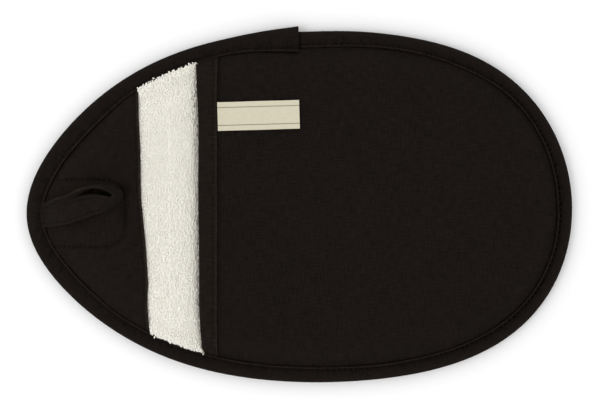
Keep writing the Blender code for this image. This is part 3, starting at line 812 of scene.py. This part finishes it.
def makeThumbPad():
    # thumbTop's height, filled with air; lighter in specks at its mouth, painted shade along its
    # rows and beside the binding, and the painted shadow of the loop
    look = thumbPocket
    x, y = ovalGrid(*look["grid"], look["tuck"], -1, look["mouth"], (thumbMouthAt, look["mouth"], -30 * mm))
    inset, low, high = thumbTop(x, y)
    low, high = mouthRound(low, high, thumbMouthAt(y) - x, look["round"])
    top, bottom = np.stack([x, y, high], -1), np.stack([x, y, low], -1)
    held = np.minimum(inset, thumbMouthAt(y) - x + 4 * mm)
    top, bottom = blowUp(top, bottom, held, look["air"])
    away = thumbMouthAt(y) - x
    speck = 1 + 0.6 * waves(x, y, 1.6 * mm, 54)
    beyond = foldBeyond(rimRun[nearestOn(x, y, rimPoint)[1]])
    edge = 1 - eased(7.3 * mm, 8.2 * mm, inset - beyond)
    shade = 0.1 + 1.7 * hump(away, 0.6 * mm, 0.45 * mm) * speck
    # painted shade along the magnet row, along the mouth row and beside the binding
    shade = shade - 0.3 * hump(nearestOn(x, y, magnetRow()[0])[0], 0, 0.6 * mm)
    shade = shade - 0.35 * hump(away, mouthRow, 0.4 * mm) - 0.35 * edge
    # painted shadow of the loop's bend
    for middleX, middleY, halfX, halfY, dark in look["loopShadow"]:
        shade = shade - dark * hump(x, middleX * mm, halfX * mm) * hump(y, middleY * mm, halfY * mm)
    piece = closedSheet("thumbPocketPad", top, bottom, np.stack([x, y], -1), coverCotton, tone=shade)
    sew(piece, ("thumb_pocket_cover", "thumb_pocket_wadding", "thumb_pocket_lining"),
        "thumb_half")


makeFingerPad()
makeThumbPad()
print("pocket pads made")


binding = {
    "top": 7.0 * mm, "bottom": 1.0 * mm, "cloth": 0.75 * mm, "row": 5.95 * mm, "pitch": 2.9 * mm,
    "channel": 0.55 * mm, "pucker": 0.24 * mm, "stray": 0.22 * mm, "bulge": 2.0 * mm, "plump": 0.75 * mm,
    "fold": 6.9 * mm, "bead": 0.28 * mm, "lump": 1.75 * mm, "lumpHalf": 7.2 * mm, "climbFrom": 7.7 * mm,
}
lap = {
    "startX": -40 * mm, "endX": -0.4 * mm, "flare": 2.2 * mm, "proud": 2.7 * mm, "lift": 0.95 * mm,
    "climbFrom": 7.3 * mm, "climb": 1.35, "thick": 0.6 * mm,
}
rootRun = rimRun[nearestOn(-127.8 * mm, -5.0 * mm, rimPoint)[1]]   # where the loop goes in under the strip


def bindingSection():
    # over the top from its inner fold, round the outer edge and back under: distance in, and height
    lane = [7.4, 7.25, 7.05, 6.85, 6.6, 6.25, 5.95, 5.7, 5.45, 5.2, 4.8, 4.4, 3.8, 3.0, 2.3]
    lane = np.array(lane) * mm
    arc = np.linspace(0, np.pi, 15)
    middle = (binding["top"] + binding["bottom"]) / 2
    half = (binding["top"] - binding["bottom"]) / 2
    arcIn = binding["bulge"] - (binding["bulge"] + binding["plump"]) * np.sin(arc) ** 0.9
    arcUp = middle + half * np.sign(np.cos(arc)) * np.abs(np.cos(arc)) ** 0.75
    inset = np.concatenate([lane, arcIn, lane[::-1]])
    flat = np.ones(len(lane))
    height = np.concatenate([flat * binding["top"], arcUp, flat * binding["bottom"]])
    return inset, height


def bindingCrease(run, inset):
    # slanting wrinkles: a sine across the slant, whose size comes and goes along the rim
    s, d = run[:, None], inset[None, :]
    slant = twoPi * (s + 0.9 * d) / (6.2 * mm) + 2 * np.sin(s / (23 * mm))
    return np.sin(slant) * wavesAlong(s, 22 * mm, 64, 0.9)


def bindingSurface(run, inset, height):
    # the section at each run along the rim, with its stitched channel, its fold's bead, puckers between
    # stitches, wrinkles, the lump over the loop's ends, and a fold that wanders and climbs onto the pads
    up = np.sign(height - (binding["top"] + binding["bottom"]) / 2)
    inner = eased(2.5 * mm, 7 * mm, inset)
    s, d = run[:, None], inset[None, :]
    wander = wavesAlong(s, 45 * mm, 61) * binding["stray"]
    sway = wavesAlong(s, 80 * mm, 62, 0.7) * 0.1 * mm
    place = d + (wander + foldBeyond(s)) * inner + sway * (1 - inner)
    stitch = 0.6 + 0.4 * np.cos(twoPi * s / binding["pitch"])
    channel = hump(d, binding["row"], 0.38 * mm) * binding["channel"] * stitch
    bead = hump(d, binding["fold"] - 0.05 * mm, 0.28 * mm) * binding["bead"]
    lump = eased(binding["lumpHalf"] + 2 * mm, binding["lumpHalf"] - 1 * mm, np.abs(s - rootRun))
    lump = lump * eased(0.5 * mm, 4.5 * mm, d) * binding["lump"] * (up[None, :] > 0)
    gather = np.sin(twoPi * s / binding["pitch"] + 0.9 * np.sin(s / (9 * mm)))
    gather = gather * binding["pucker"] * inner
    ease = wavesAlong(s, 28 * mm, 63, 0.2) * 0.12 * mm * eased(0.5 * mm, 3 * mm, d)
    ease = ease * np.where(up > 0, 1.0, 0.3) + bindingCrease(run, inset) * 0.16 * mm * inner
    crown = 0.25 * mm * hump(d, 3.6 * mm, 1.6 * mm)
    climb = np.clip(place - binding["climbFrom"], 0, None) * np.where(up > 0, 1.35, 0.15)
    climb = climb + np.clip(foldBeyond(s), 0, None) * inner * (up > 0) * 0.7
    shift = up[None, :] * (crown - channel + bead + gather * 0.6 + ease + climb) + lump
    return place, np.maximum(height[None, :] + shift, 0.05 * mm)


def bindingTone(run, inset):
    # painted light and shade: a painted highlight on the folded edge and on the outer edge,
    # painted shade in the sewn channel and on the cloth near it, darkest where the strip faces right,
    # then where it faces down, and painted shade on the wrinkles
    d = inset[None, :]
    facing = np.stack([np.interp(run, rimRun, rimInward[:, k]) for k in (0, 1)])
    right, down = np.clip(-facing[0], 0, 1)[:, None], np.clip(facing[1], 0, 1)[:, None]
    ridge = hump(d, binding["fold"], 0.3 * mm) * (1 + 0.5 * wavesAlong(run[:, None], 2.2 * mm, 65))
    groove = (0.14 + 0.4 * right) * hump(d, binding["row"], 0.48 * mm)
    near = np.clip((d - 2.4 * mm) / (3.6 * mm), 0, 1) * eased(6.75 * mm, 6.45 * mm, d)
    shade = (0.38 * right + 0.18 * down + 0.04) * near
    # painted highlight along the outer edge
    paintedShading = 0.14 * eased(2.4 * mm, 0.8 * mm, d)
    # painted shade on the wrinkles
    wrinkle = 0.32 * np.clip(bindingCrease(run, inset), 0, 1)
    wrinkle = wrinkle * eased(1.5 * mm, 5 * mm, d) * eased(6.8 * mm, 6.4 * mm, d)
    return ridge - groove + paintedShading - wrinkle - shade


def sweepRim(run, place, height):
    # puts distance in and height on the rim at each run
    closed = np.append(rimRun, rimLength)
    point, inward = (
        np.stack([np.interp(run, closed, np.append(table[:, k], table[0, k])) for k in (0, 1)], -1)
        for table in (rimPoint, rimInward))
    flat = point[:, None, :] + inward[:, None, :] * place[..., None]
    return np.concatenate([flat, height[..., None]], -1)


def sectionRun(inset, height):
    # distance travelled round a section
    return runOf(np.stack([inset, height], -1))


def innerSkin(inset, height, thick):
    # the section moved to its inner side by the cloth's thickness
    ahead = np.stack([np.gradient(inset), np.gradient(height)], -1)
    ahead /= np.linalg.norm(ahead, axis=-1, keepdims=True)
    return inset - ahead[:, 1] * thick, height + ahead[:, 0] * thick


def makeBinding():
    # the section swept right round the rim, with an inner skin one cloth's thickness inside it
    inset, height = bindingSection()
    count = 1250
    run = np.arange(count) * rimLength / count
    outer = sweepRim(run, *bindingSurface(run, inset, height))
    pick = np.r_[0, 3, 6, 9, 13:29:3, 30, 33, 36, 39, 42, 44]   # the inner skin takes fewer points
    skinIn, skinUp = innerSkin(inset, height, binding["cloth"])
    inner = sweepRim(run, *bindingSurface(run, skinIn[pick], skinUp[pick]))[:, ::-1]
    points = np.concatenate([outer, inner], 1)
    across = sectionRun(inset, height)
    flat = clothMap(run, np.concatenate([across, across[pick][::-1]]))
    faces = gridQuads(count, points.shape[1], closeRows=True, closeCols=True)
    # painted shadow of the lap's cut end on the strip beyond it
    beyond = hump(outer[..., 0], lap["endX"] + 0.7 * mm, 0.6 * mm) * (outer[..., 1] > 0)
    shade = np.concatenate([bindingTone(run, inset) - 0.6 * beyond, np.zeros((count, len(pick)))], 1)
    piece = newPiece("edgeBinding", points, faces, flat, biasCotton, sharp=70, tone=shade)
    sew(piece, ("edge_binding_finger_side", "edge_binding_thumb_side"))


def runAtX(x):
    # run along the upper side of the rim where it crosses x
    upper = rimPoint[:, 1] > outline["middleY"]
    order = np.argsort(rimPoint[upper, 0])
    return float(np.interp(x, rimPoint[upper, 0][order], rimRun[upper][order]))


def makeLap():
    # the strip's free end, wider and prouder toward its cut edge, laid over the other end
    inset, height = bindingSection()
    run = np.linspace(runAtX(lap["endX"]), runAtX(lap["startX"]), 110)
    grow = 1 - (run - run[0]) / (run[-1] - run[0])
    grow = (grow ** 1.15)[:, None]
    place, up = bindingSurface(run, inset, height)
    side = np.sign(height - (binding["top"] + binding["bottom"]) / 2)[None, :]
    inner = eased(1.5 * mm, 7 * mm, inset)[None, :]
    climbed = np.clip(place - binding["climbFrom"], 0, None)
    place = place + inner * grow * lap["flare"] - (1 - inner) * grow ** 1.4 * lap["proud"]
    climb = np.clip(place - lap["climbFrom"], 0, None) - climbed
    climb = climb * np.where(side > 0, lap["climb"], -0.15)
    up = up + side * (0.12 * mm + grow * lap["lift"] * np.where(side > 0, 1.0, 0.75)) + climb
    up = np.maximum(up, 0.05 * mm)
    skinIn = place + (1 - inner) * lap["thick"]
    skinUp = up - side * lap["thick"] * inner - side * lap["thick"] * 0.3 * (1 - inner)
    points = np.concatenate([sweepRim(run, place, up), sweepRim(run, skinIn, skinUp)[:, ::-1]], 1)
    across = sectionRun(inset, height)
    rows, cols = points.shape[:2]
    # the binding's painted light and shade, weaker on the lap
    shade = np.concatenate([bindingTone(run, inset) * 0.7, np.zeros((rows, cols // 2))], 1)
    flat = clothMap(run, np.append(across, across[::-1]))
    piece = newPiece("bindingLap", points, rolledStrip(rows, cols), flat, biasCotton, sharp=50, tone=shade)
    sew(piece, ("edge_binding_lap",), "finger_half")


makeBinding()
makeLap()
print("binding made")


band = {
    "front": -49.9 * mm, "nose": 1.5 * mm, "seam": -41.05 * mm, "cloth": 0.5 * mm, "row": -42.7 * mm,
    "pitch": 2.7 * mm,
}


def bandSurface(y, offset):
    # from the sewn edge over the top, round the mouth and a little way back underneath
    lane = [-40.7, -40.8, -41.1, -41.6, -42.1, -42.5, -42.7, -42.9, -43.4, -44.2, -45.4, -46.8, -48.0]
    lane = np.array(lane) * mm
    under = np.array([-48.0, -46.5, -44.5, -42.0]) * mm
    turn = np.linspace(0, np.pi, 13)
    x = np.concatenate([lane, band["front"] + offset + band["nose"] * (1 - np.sin(turn)), under])
    swept = np.interp(x, [-49.9 * mm, -42.5 * mm], [1, 0])
    grid, ys = np.broadcast_arrays(x[None, :], y[:, None])
    inset, which = nearestOn(np.maximum(grid, -47.5 * mm), ys, rimPoint)
    low, high = padHeights(inset, fingerPocket)
    shrink = eased(6.5 * mm, 11 * mm, inset)
    top = high + (0.25 + 0.6 * shrink) * mm - offset
    bottom = low - (0.1 + 0.6 * shrink) * mm + offset
    up = np.concatenate([np.ones(len(lane)), (np.cos(turn) + 1) / 2, np.zeros(len(under))])[None, :]
    up = np.where((up > 0) & (up < 1), 0.5 + 0.5 * np.sign(up - 0.5) * np.abs(2 * up - 1) ** 0.6, up)
    onTop = np.concatenate([np.ones(len(lane)), np.zeros(len(turn) + len(under))])[None, :]
    stitch = 0.6 + 0.4 * np.cos(twoPi * ys / band["pitch"])
    gather = np.sin(twoPi * ys / band["pitch"] + np.sin(ys / (8 * mm)))
    z = bottom + (top - bottom) * up
    z = z + onTop * (gather * 0.07 * mm - hump(grid, band["row"], 0.5 * mm) * 0.3 * mm * stitch)
    drift = wavesAlong(ys, 40 * mm, 71) * 0.22 * mm * (1 - onTop)
    drift = drift + wavesAlong(ys, 30 * mm, 72, 0.5) * 0.08 * mm
    sweep = (fingerMouthAt(ys) - fingerPocket["mouth"]) * swept[None, :]
    return np.stack([grid + drift + sweep, ys, z], -1), sectionRun(x, np.zeros_like(x))


def makeBand():
    # the band's surface and an inner skin, with painted highlights along its seam and its front edge
    middle, reach = rimAt(-45 * mm, 5.0 * mm)
    y = np.linspace(-reach, reach, 420) + middle
    outer, across = bandSurface(y, 0.0)
    inner = bandSurface(y, band["cloth"])[0]
    points = np.concatenate([outer, inner[:, ::-1]], 1)
    rows, cols = points.shape[:2]
    top = outer[..., 0]
    speck = 1 + 0.4 * wavesAlong(outer[..., 1], 2.0 * mm, 73)
    shade = np.zeros((rows, cols))
    # a little lighter overall, with painted highlights along the seam and on the front edge
    shade[:, :cols // 2] = (0.25 + hump(top, band["seam"], 0.3 * mm) * speck
                            + 0.35 * hump(top, top.min(1, keepdims=True), 0.5 * mm))
    flat = clothMap(y, np.append(across, across[::-1]))
    piece = newPiece("pocketBand", points, rolledStrip(rows, cols), flat, coverCotton, sharp=60, tone=shade)
    sew(piece, ("finger_pocket_band",), "finger_half")


makeBand()
print("band made")


stitches = {
    "long": 0.78, "thick": 0.21 * mm, "sink": 0.484 * mm, "proud": 0.12 * mm, "mouthPitch": 2.4 * mm,
    "sides": 6, "taper": (0.55, 0.85, 1, 1, 1, 0.85, 0.55),
}


def makeStitches(name, path, pitch, stands, body, seed, way=1):
    # one short bar of thread for each stitch, its ends dipping into the cloth by a squared cosine
    run = runOf(path)
    count = int(run[-1] / pitch)
    dice = np.random.default_rng(seed)
    middle = (np.arange(count) + 0.5) * run[-1] / count
    t = np.linspace(-0.5, 0.5, 7)
    at = middle[:, None] + t[None] * pitch * stitches["long"] * dice.uniform(0.92, 1.05, (count, 1))
    spots = np.stack([np.interp(at, run, path[:, k]) for k in range(3)], -1)
    dip = (0.5 - np.cos(np.pi * 2 * t) * 0.5) ** 2
    spots[..., 2] += way * (stitches["proud"] - dip[None] * stitches["sink"])
    radius = stitches["thick"] * np.array(stitches["taper"])[None]
    sides = stitches["sides"]
    points, faces, caps, farCaps = tubesAlong(spots, np.repeat(radius, count, 0), sides)
    near, far = (np.concatenate([ring[:, :4], ring[:, [0, 3, 4, 5]]]) for ring in (caps, farCaps))
    faces = np.concatenate([faces, near, far[:, ::-1]])
    flat = np.stack([np.repeat(at.ravel(), sides), np.tile(np.arange(sides) * 0.2 * mm, at.size)], -1)
    piece = newPiece(name, points, faces, flat, stitchThread, weld=0, sharp=180)
    sew(piece, stands, body)


def edgeRow(under):
    # the binding's own surface at its sewn row
    run = np.arange(1440) * rimLength / 1440
    inset, height = bindingSection()
    pick = np.array([len(inset) - 7 if under else 6])
    return sweepRim(run, *bindingSurface(run, inset[pick], height[pick]))[:, 0]


def lapRow(path):
    # where the lapped end lies on top, the row runs on the lap
    x, y = path[:, 0], path[:, 1]
    on = (y > 0) & (x > lap["startX"]) & (x < lap["endX"])
    grow = np.where(on, np.clip((x - lap["startX"]) / (lap["endX"] - lap["startX"]), 0, 1) ** 1.15, 0)
    shift = grow * lap["flare"] * 0.93
    lifted = path.copy()
    lifted[:, :2] += rimInward[nearestOn(x, y, rimPoint)[1]] * shift[:, None]
    lifted[:, 2] += grow * (lap["lift"] + 0.12 * mm) + np.clip(shift - 1.1 * mm, 0, None) * lap["climb"]
    return lifted


def bandRow():
    # the band's own surface at its sewn row
    middle, reach = rimAt(band["row"], 7.5 * mm)
    return bandSurface(np.linspace(-reach, reach, 800) + middle, 0.0)[0][:, 6]


def padRow(x, y):
    # points on the thumb pocket's cover, away from the binding
    inset, low, high = thumbTop(x, y)
    return np.stack([x, y, high], -1)[inset > 8 * mm]


def mouthStitchRow():
    # beside the thumb pocket's mouth, between the two bindings
    y = np.linspace(-70 * mm, 70 * mm, 700)
    y = y[np.abs(y) < rimAt(-78 * mm, 8 * mm)[1]]
    return padRow(thumbMouthAt(y) - mouthRow, y)


makeStitches("edgeStitchesFront", lapRow(edgeRow(False)), binding["pitch"],
             ("edge_stitching_finger_side", "edge_stitching_thumb_side"), None, 81)
makeStitches("edgeStitchesBack", edgeRow(True), binding["pitch"], (), None, 82, way=-1)
makeStitches("bandStitches", bandRow(), band["pitch"], ("band_stitching",), "finger_half", 83)
makeStitches("magnetPocketStitches", padRow(*magnetRow(700)[0].T), magnetPocket["pitch"],
             ("magnet_pocket_stitching",), "thumb_half", 84)
makeStitches("thumbMouthStitches", mouthStitchRow(), stitches["mouthPitch"], (), "thumb_half", 85)
print("stitches made")


label = {
    "long": 40.3 * mm, "wide": 14.1 * mm, "thick": 0.32 * mm, "turn": 1.6,
    "startX": -40.3 * mm, "middleY": 43.8 * mm, "lift": 0.8 * mm,
}


def makeLabel():
    # thin ribbon lying on the pocket, its free end just off the cloth
    u, v = np.meshgrid(np.linspace(0, 1, 110), np.linspace(-1, 1, 44), indexing="ij")
    turn = np.radians(label["turn"])
    side = v * label["wide"] / 2 * (1 - 0.004 * np.sin(u * 9))
    x = label["startX"] + u * label["long"] * np.cos(turn) - side * np.sin(turn)
    y = label["middleY"] + u * label["long"] * np.sin(turn) + side * np.cos(turn)
    inset, which = nearestOn(x, y, rimPoint)
    low, high = padHeights(inset, fingerPocket)
    ground = high + 0.55 * mm
    curl = label["lift"] * u ** 2 + 0.25 * mm * np.abs(v) ** 6 * u
    z = ground + curl + 0.35 * mm * (1 - eased(0, 0.06, u)) + waves(x, y, 14 * mm, 91) * 0.07 * mm
    top = np.stack([x, y, z + label["thick"]], -1)
    bottom = np.stack([x, y, z], -1)
    flat = np.stack([u * label["long"], side], -1)
    piece = closedSheet("wovenLabel", top, bottom, flat, labelSatin)
    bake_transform(piece)
    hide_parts("woven_label")


makeLabel()
print("label made")


tape = {
    "wide": 11.2 * mm, "thick": 1.4 * mm,
    "row": 0.355,   # how far the sewn row lies from the middle, as a share of the width
    # x, y, turn of the tape about its run, change of that turn across it, lift off the cloth
    "route": (
        (-129.6, -5.0, 0, 0, 0.9), (-127.0, -5.0, 0, 0, 0.9), (-121.5, -4.5, 1, 0, 1.4),
        (-116.0, -3.5, 4, 6, 1.8), (-110.0, -1.8, 10, 14, 1.9), (-104.0, 0.2, 24, 20, 1.5),
        (-99.5, 1.2, 38, 24, 0.9), (-95.5, 1.6, 55, 20, 0.5), (-92.5, 1.9, 67, 10, 0.3),
        (-90.3, 2.8, 72, 0, 0.3), (-89.2, 4.4, 72, 0, 0.3), (-89.6, 6.2, 72, 0, 0.3),
        (-91.5, 7.9, 74, 0, 0.3), (-95.0, 9.2, 80, -6, 0.3), (-99.5, 9.6, 88, -14, 0.3),
        (-104.0, 8.4, 101, -30, 0.3), (-108.0, 5.9, 120, -50, 0.2), (-112.5, 2.0, 143, -62, 0.1),
        (-117.5, -1.2, 164, -36, 0.0), (-123.0, -3.6, 178, -6, 0.0), (-127.0, -4.2, 180, 0, 0.0),
        (-129.6, -4.2, 180, 0, 0.0),
    ),
}


def smoothRoute(stops, count):
    # cubic through the stops (each stop's slope is that of its neighbours), sampled at an even run
    stops = np.asarray(stops, float)
    last = len(stops) - 1
    t = np.linspace(0, last, 2000)
    k = np.clip(t.astype(int), 0, last - 1)
    f = (t - k)[:, None]
    slope = np.gradient(stops, axis=0)
    a, b, sa, sb = stops[k], stops[k + 1], slope[k], slope[k + 1]
    curve = ((2 * f ** 3 - 3 * f ** 2 + 1) * a + (f ** 3 - 2 * f ** 2 + f) * sa
             + (3 * f ** 2 - 2 * f ** 3) * b + (f ** 3 - f ** 2) * sb)
    run = runOf(curve[:, :2])
    even = np.linspace(0, run[-1], count)
    return np.stack([np.interp(even, run, curve[:, c]) for c in range(curve.shape[1])], -1), even


def makeTape():
    # folded tape carried along its route, turned from flat at the seam to its edge round the bend; the turn
    # also changes across the tape, so each of its cross sections is an arc
    route, run = smoothRoute(tape["route"], 200)
    run = run * mm
    x, y, lift = route[:, 0] * mm, route[:, 1] * mm, route[:, 4] * mm
    lean, curl = np.radians(route[:, 2]), np.radians(route[:, 3])
    ahead = np.stack([np.gradient(x), np.gradient(y)], -1)
    ahead /= np.linalg.norm(ahead, axis=1, keepdims=True)
    level = np.stack([-ahead[:, 1], ahead[:, 0]], -1)
    press = eased(-128 * mm, -119 * mm, x)[:, None]
    thickness = tape["thick"] * (0.62 + 0.38 * press)
    fine = np.linspace(-0.5, 0.5, 61)
    angle = lean[:, None] + curl[:, None] * fine
    slope = np.stack([np.cos(angle), np.sin(angle)], -1)
    steps = np.cumsum((slope[:, 1:] + slope[:, :-1]) / 2, 1)
    reach = np.concatenate([np.zeros((len(x), 1, 2)), steps], 1) / 60
    reach = (reach - reach[:, 30:31]) * tape["wide"]
    tapeX = x[:, None] + level[:, :1] * reach[..., 0]
    tapeY = y[:, None] + level[:, 1:] * reach[..., 0]
    inset, low, high = thumbTop(tapeX[:, ::6], tapeY[:, ::6])
    need = high + (thickness / 2 + (0.08 + 0.27 * press) * mm + lift[:, None]) - reach[:, ::6, 1]
    z = need.max(1)
    for again in range(30):
        z[1:-1] = (z[:-2] + 2 * z[1:-1] + z[2:]) / 4
    z = np.maximum(z, need.max(1) - 0.2 * mm)
    # section: flat faces with a stitched groove near each edge, and edges of three folded layers
    face = np.array([-0.49, -0.47, -0.44, -0.40, -0.375, -0.355, -0.335, -0.30, -0.18, 0,
                     0.18, 0.30, 0.335, 0.355, 0.375, 0.40, 0.44, 0.47, 0.49])
    dip = 0.14 * hump(np.abs(face), tape["row"], 0.022)
    upper = np.where(np.abs(face) > 0.48, 0.46, 0.5) - dip
    fold = np.array([[0.512, 0.40], [0.508, 0.24], [0.482, 0.17], [0.508, 0.10], [0.514, 0.0],
                     [0.508, -0.10], [0.482, -0.17], [0.508, -0.24], [0.512, -0.40]])
    section = np.concatenate([np.stack([face, upper], -1), fold, np.stack([face[::-1], -upper[::-1]], -1),
                              fold * [-1, -1]])
    across = np.clip(section[:, 0], -0.5, 0.5)
    over = (section[:, 0] - across) * tape["wide"]
    spot = (across + 0.5) * 60
    k = np.clip(spot.astype(int), 0, 59)
    share = (spot - k)[None, :, None]
    place = reach[:, k] * (1 - share) + reach[:, k + 1] * share
    turned = lean[:, None] + curl[:, None] * across
    along, up = np.cos(turned), np.sin(turned)
    depth = section[:, 1][None, :] * thickness * (1 + 0.05 * np.sin(twoPi * run / (2.6 * mm)))[:, None]
    side = place[..., 0] + along * over - up * depth
    rise = place[..., 1] + up * over + along * depth
    points = np.concatenate([np.stack([x, y], -1)[:, None, :] + level[:, None, :] * side[..., None],
                             (z[:, None] + rise)[..., None]], -1)
    rows, cols = points.shape[:2]
    flat = clothMap(run, section[:, 0] * tape["wide"])
    ends = [list(range(cols))[::-1], list(range((rows - 1) * cols, rows * cols))]
    faces = [list(f) for f in gridQuads(rows, cols, closeCols=True)] + ends
    # painted highlight on the folded edges, painted shade in the sewn grooves and in the notches between
    # layers
    edgeLine = 0.8 * (np.abs(section[:, 0]) > 0.5)
    grooveLine = 0.3 * hump(np.abs(section[:, 0]), tape["row"], 0.02)
    notch = 0.8 * (np.abs(np.abs(section[:, 0]) - 0.482) < 1e-4)
    shade = np.repeat((edgeLine - grooveLine - notch)[None], rows, 0)
    piece = newPiece("hangingLoop", points, faces, flat, tapeCotton, sharp=50, tone=shade)
    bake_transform(piece)
    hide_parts("hanging_loop")


makeTape()
print("loop made")


for node, finish in (("magnet", magnetSheet), ("magnet_pouch", liningCotton)):
    made = frame["nodes"][node]
    for slot in made.material_slots:
        slot.material = finish


def makeStage():
    # a pale level floor just under the mitt
    mesh = bpy.data.meshes.new("floor")
    side, z = 3.0, -0.3 * mm
    corners = [(-side, -side, z), (side, -side, z), (side, side, z), (-side, side, z)]
    mesh.from_pydata(corners, [], [(0, 1, 2, 3)])
    floor = addObject("floor", mesh)
    paper, tree, shader = newFinish("paleFloor", 0.95, 0.0, (1, 1, 1), 0.0)
    shader.inputs["Base Color"].default_value = (0.93, 0.93, 0.93, 1)
    mesh.materials.append(paper)


lighting = {"sky": 1.03, "key": 2.6, "keySize": 0.6, "keyPlace": (-0.55, -0.20, 1.2)}


def makeLights():
    # an even white sky and one large soft lamp turned toward the mitt
    world = bpy.data.worlds.new("studio")
    world.use_nodes = True
    sky = world.node_tree.nodes["Background"]
    sky.inputs["Color"].default_value = (1, 1, 1, 1)
    sky.inputs["Strength"].default_value = lighting["sky"]
    bpy.context.scene.world = world
    lamp = bpy.data.lights.new("softbox", "AREA")
    lamp.shape = "DISK"
    lamp.size = lighting["keySize"]
    lamp.energy = lighting["key"]
    box = addObject("softbox", lamp)
    box.location = lighting["keyPlace"]
    box.rotation_euler = (-Vector(lighting["keyPlace"])).to_track_quat("-Z", "Y").to_euler()


view = {
    "lens": 135.0, "sensor": 36.0, "wide": 297.24 * mm, "middle": (0.25 * mm, 0.3 * mm), "level": 10 * mm,
}


def makeCamera():
    # straight down, at the height where the view at the mitt's level is as wide as asked
    data = bpy.data.cameras.new("camera")
    data.lens = view["lens"]
    data.sensor_width = view["sensor"]
    camera = addObject("camera", data)
    camera.location = (*view["middle"], view["wide"] * view["lens"] / view["sensor"] + view["level"])
    bpy.context.scene.camera = camera


makeStage()
makeLights()
makeCamera()
bpy.context.scene.view_settings.view_transform = "Standard"
print("stage, light and camera made")
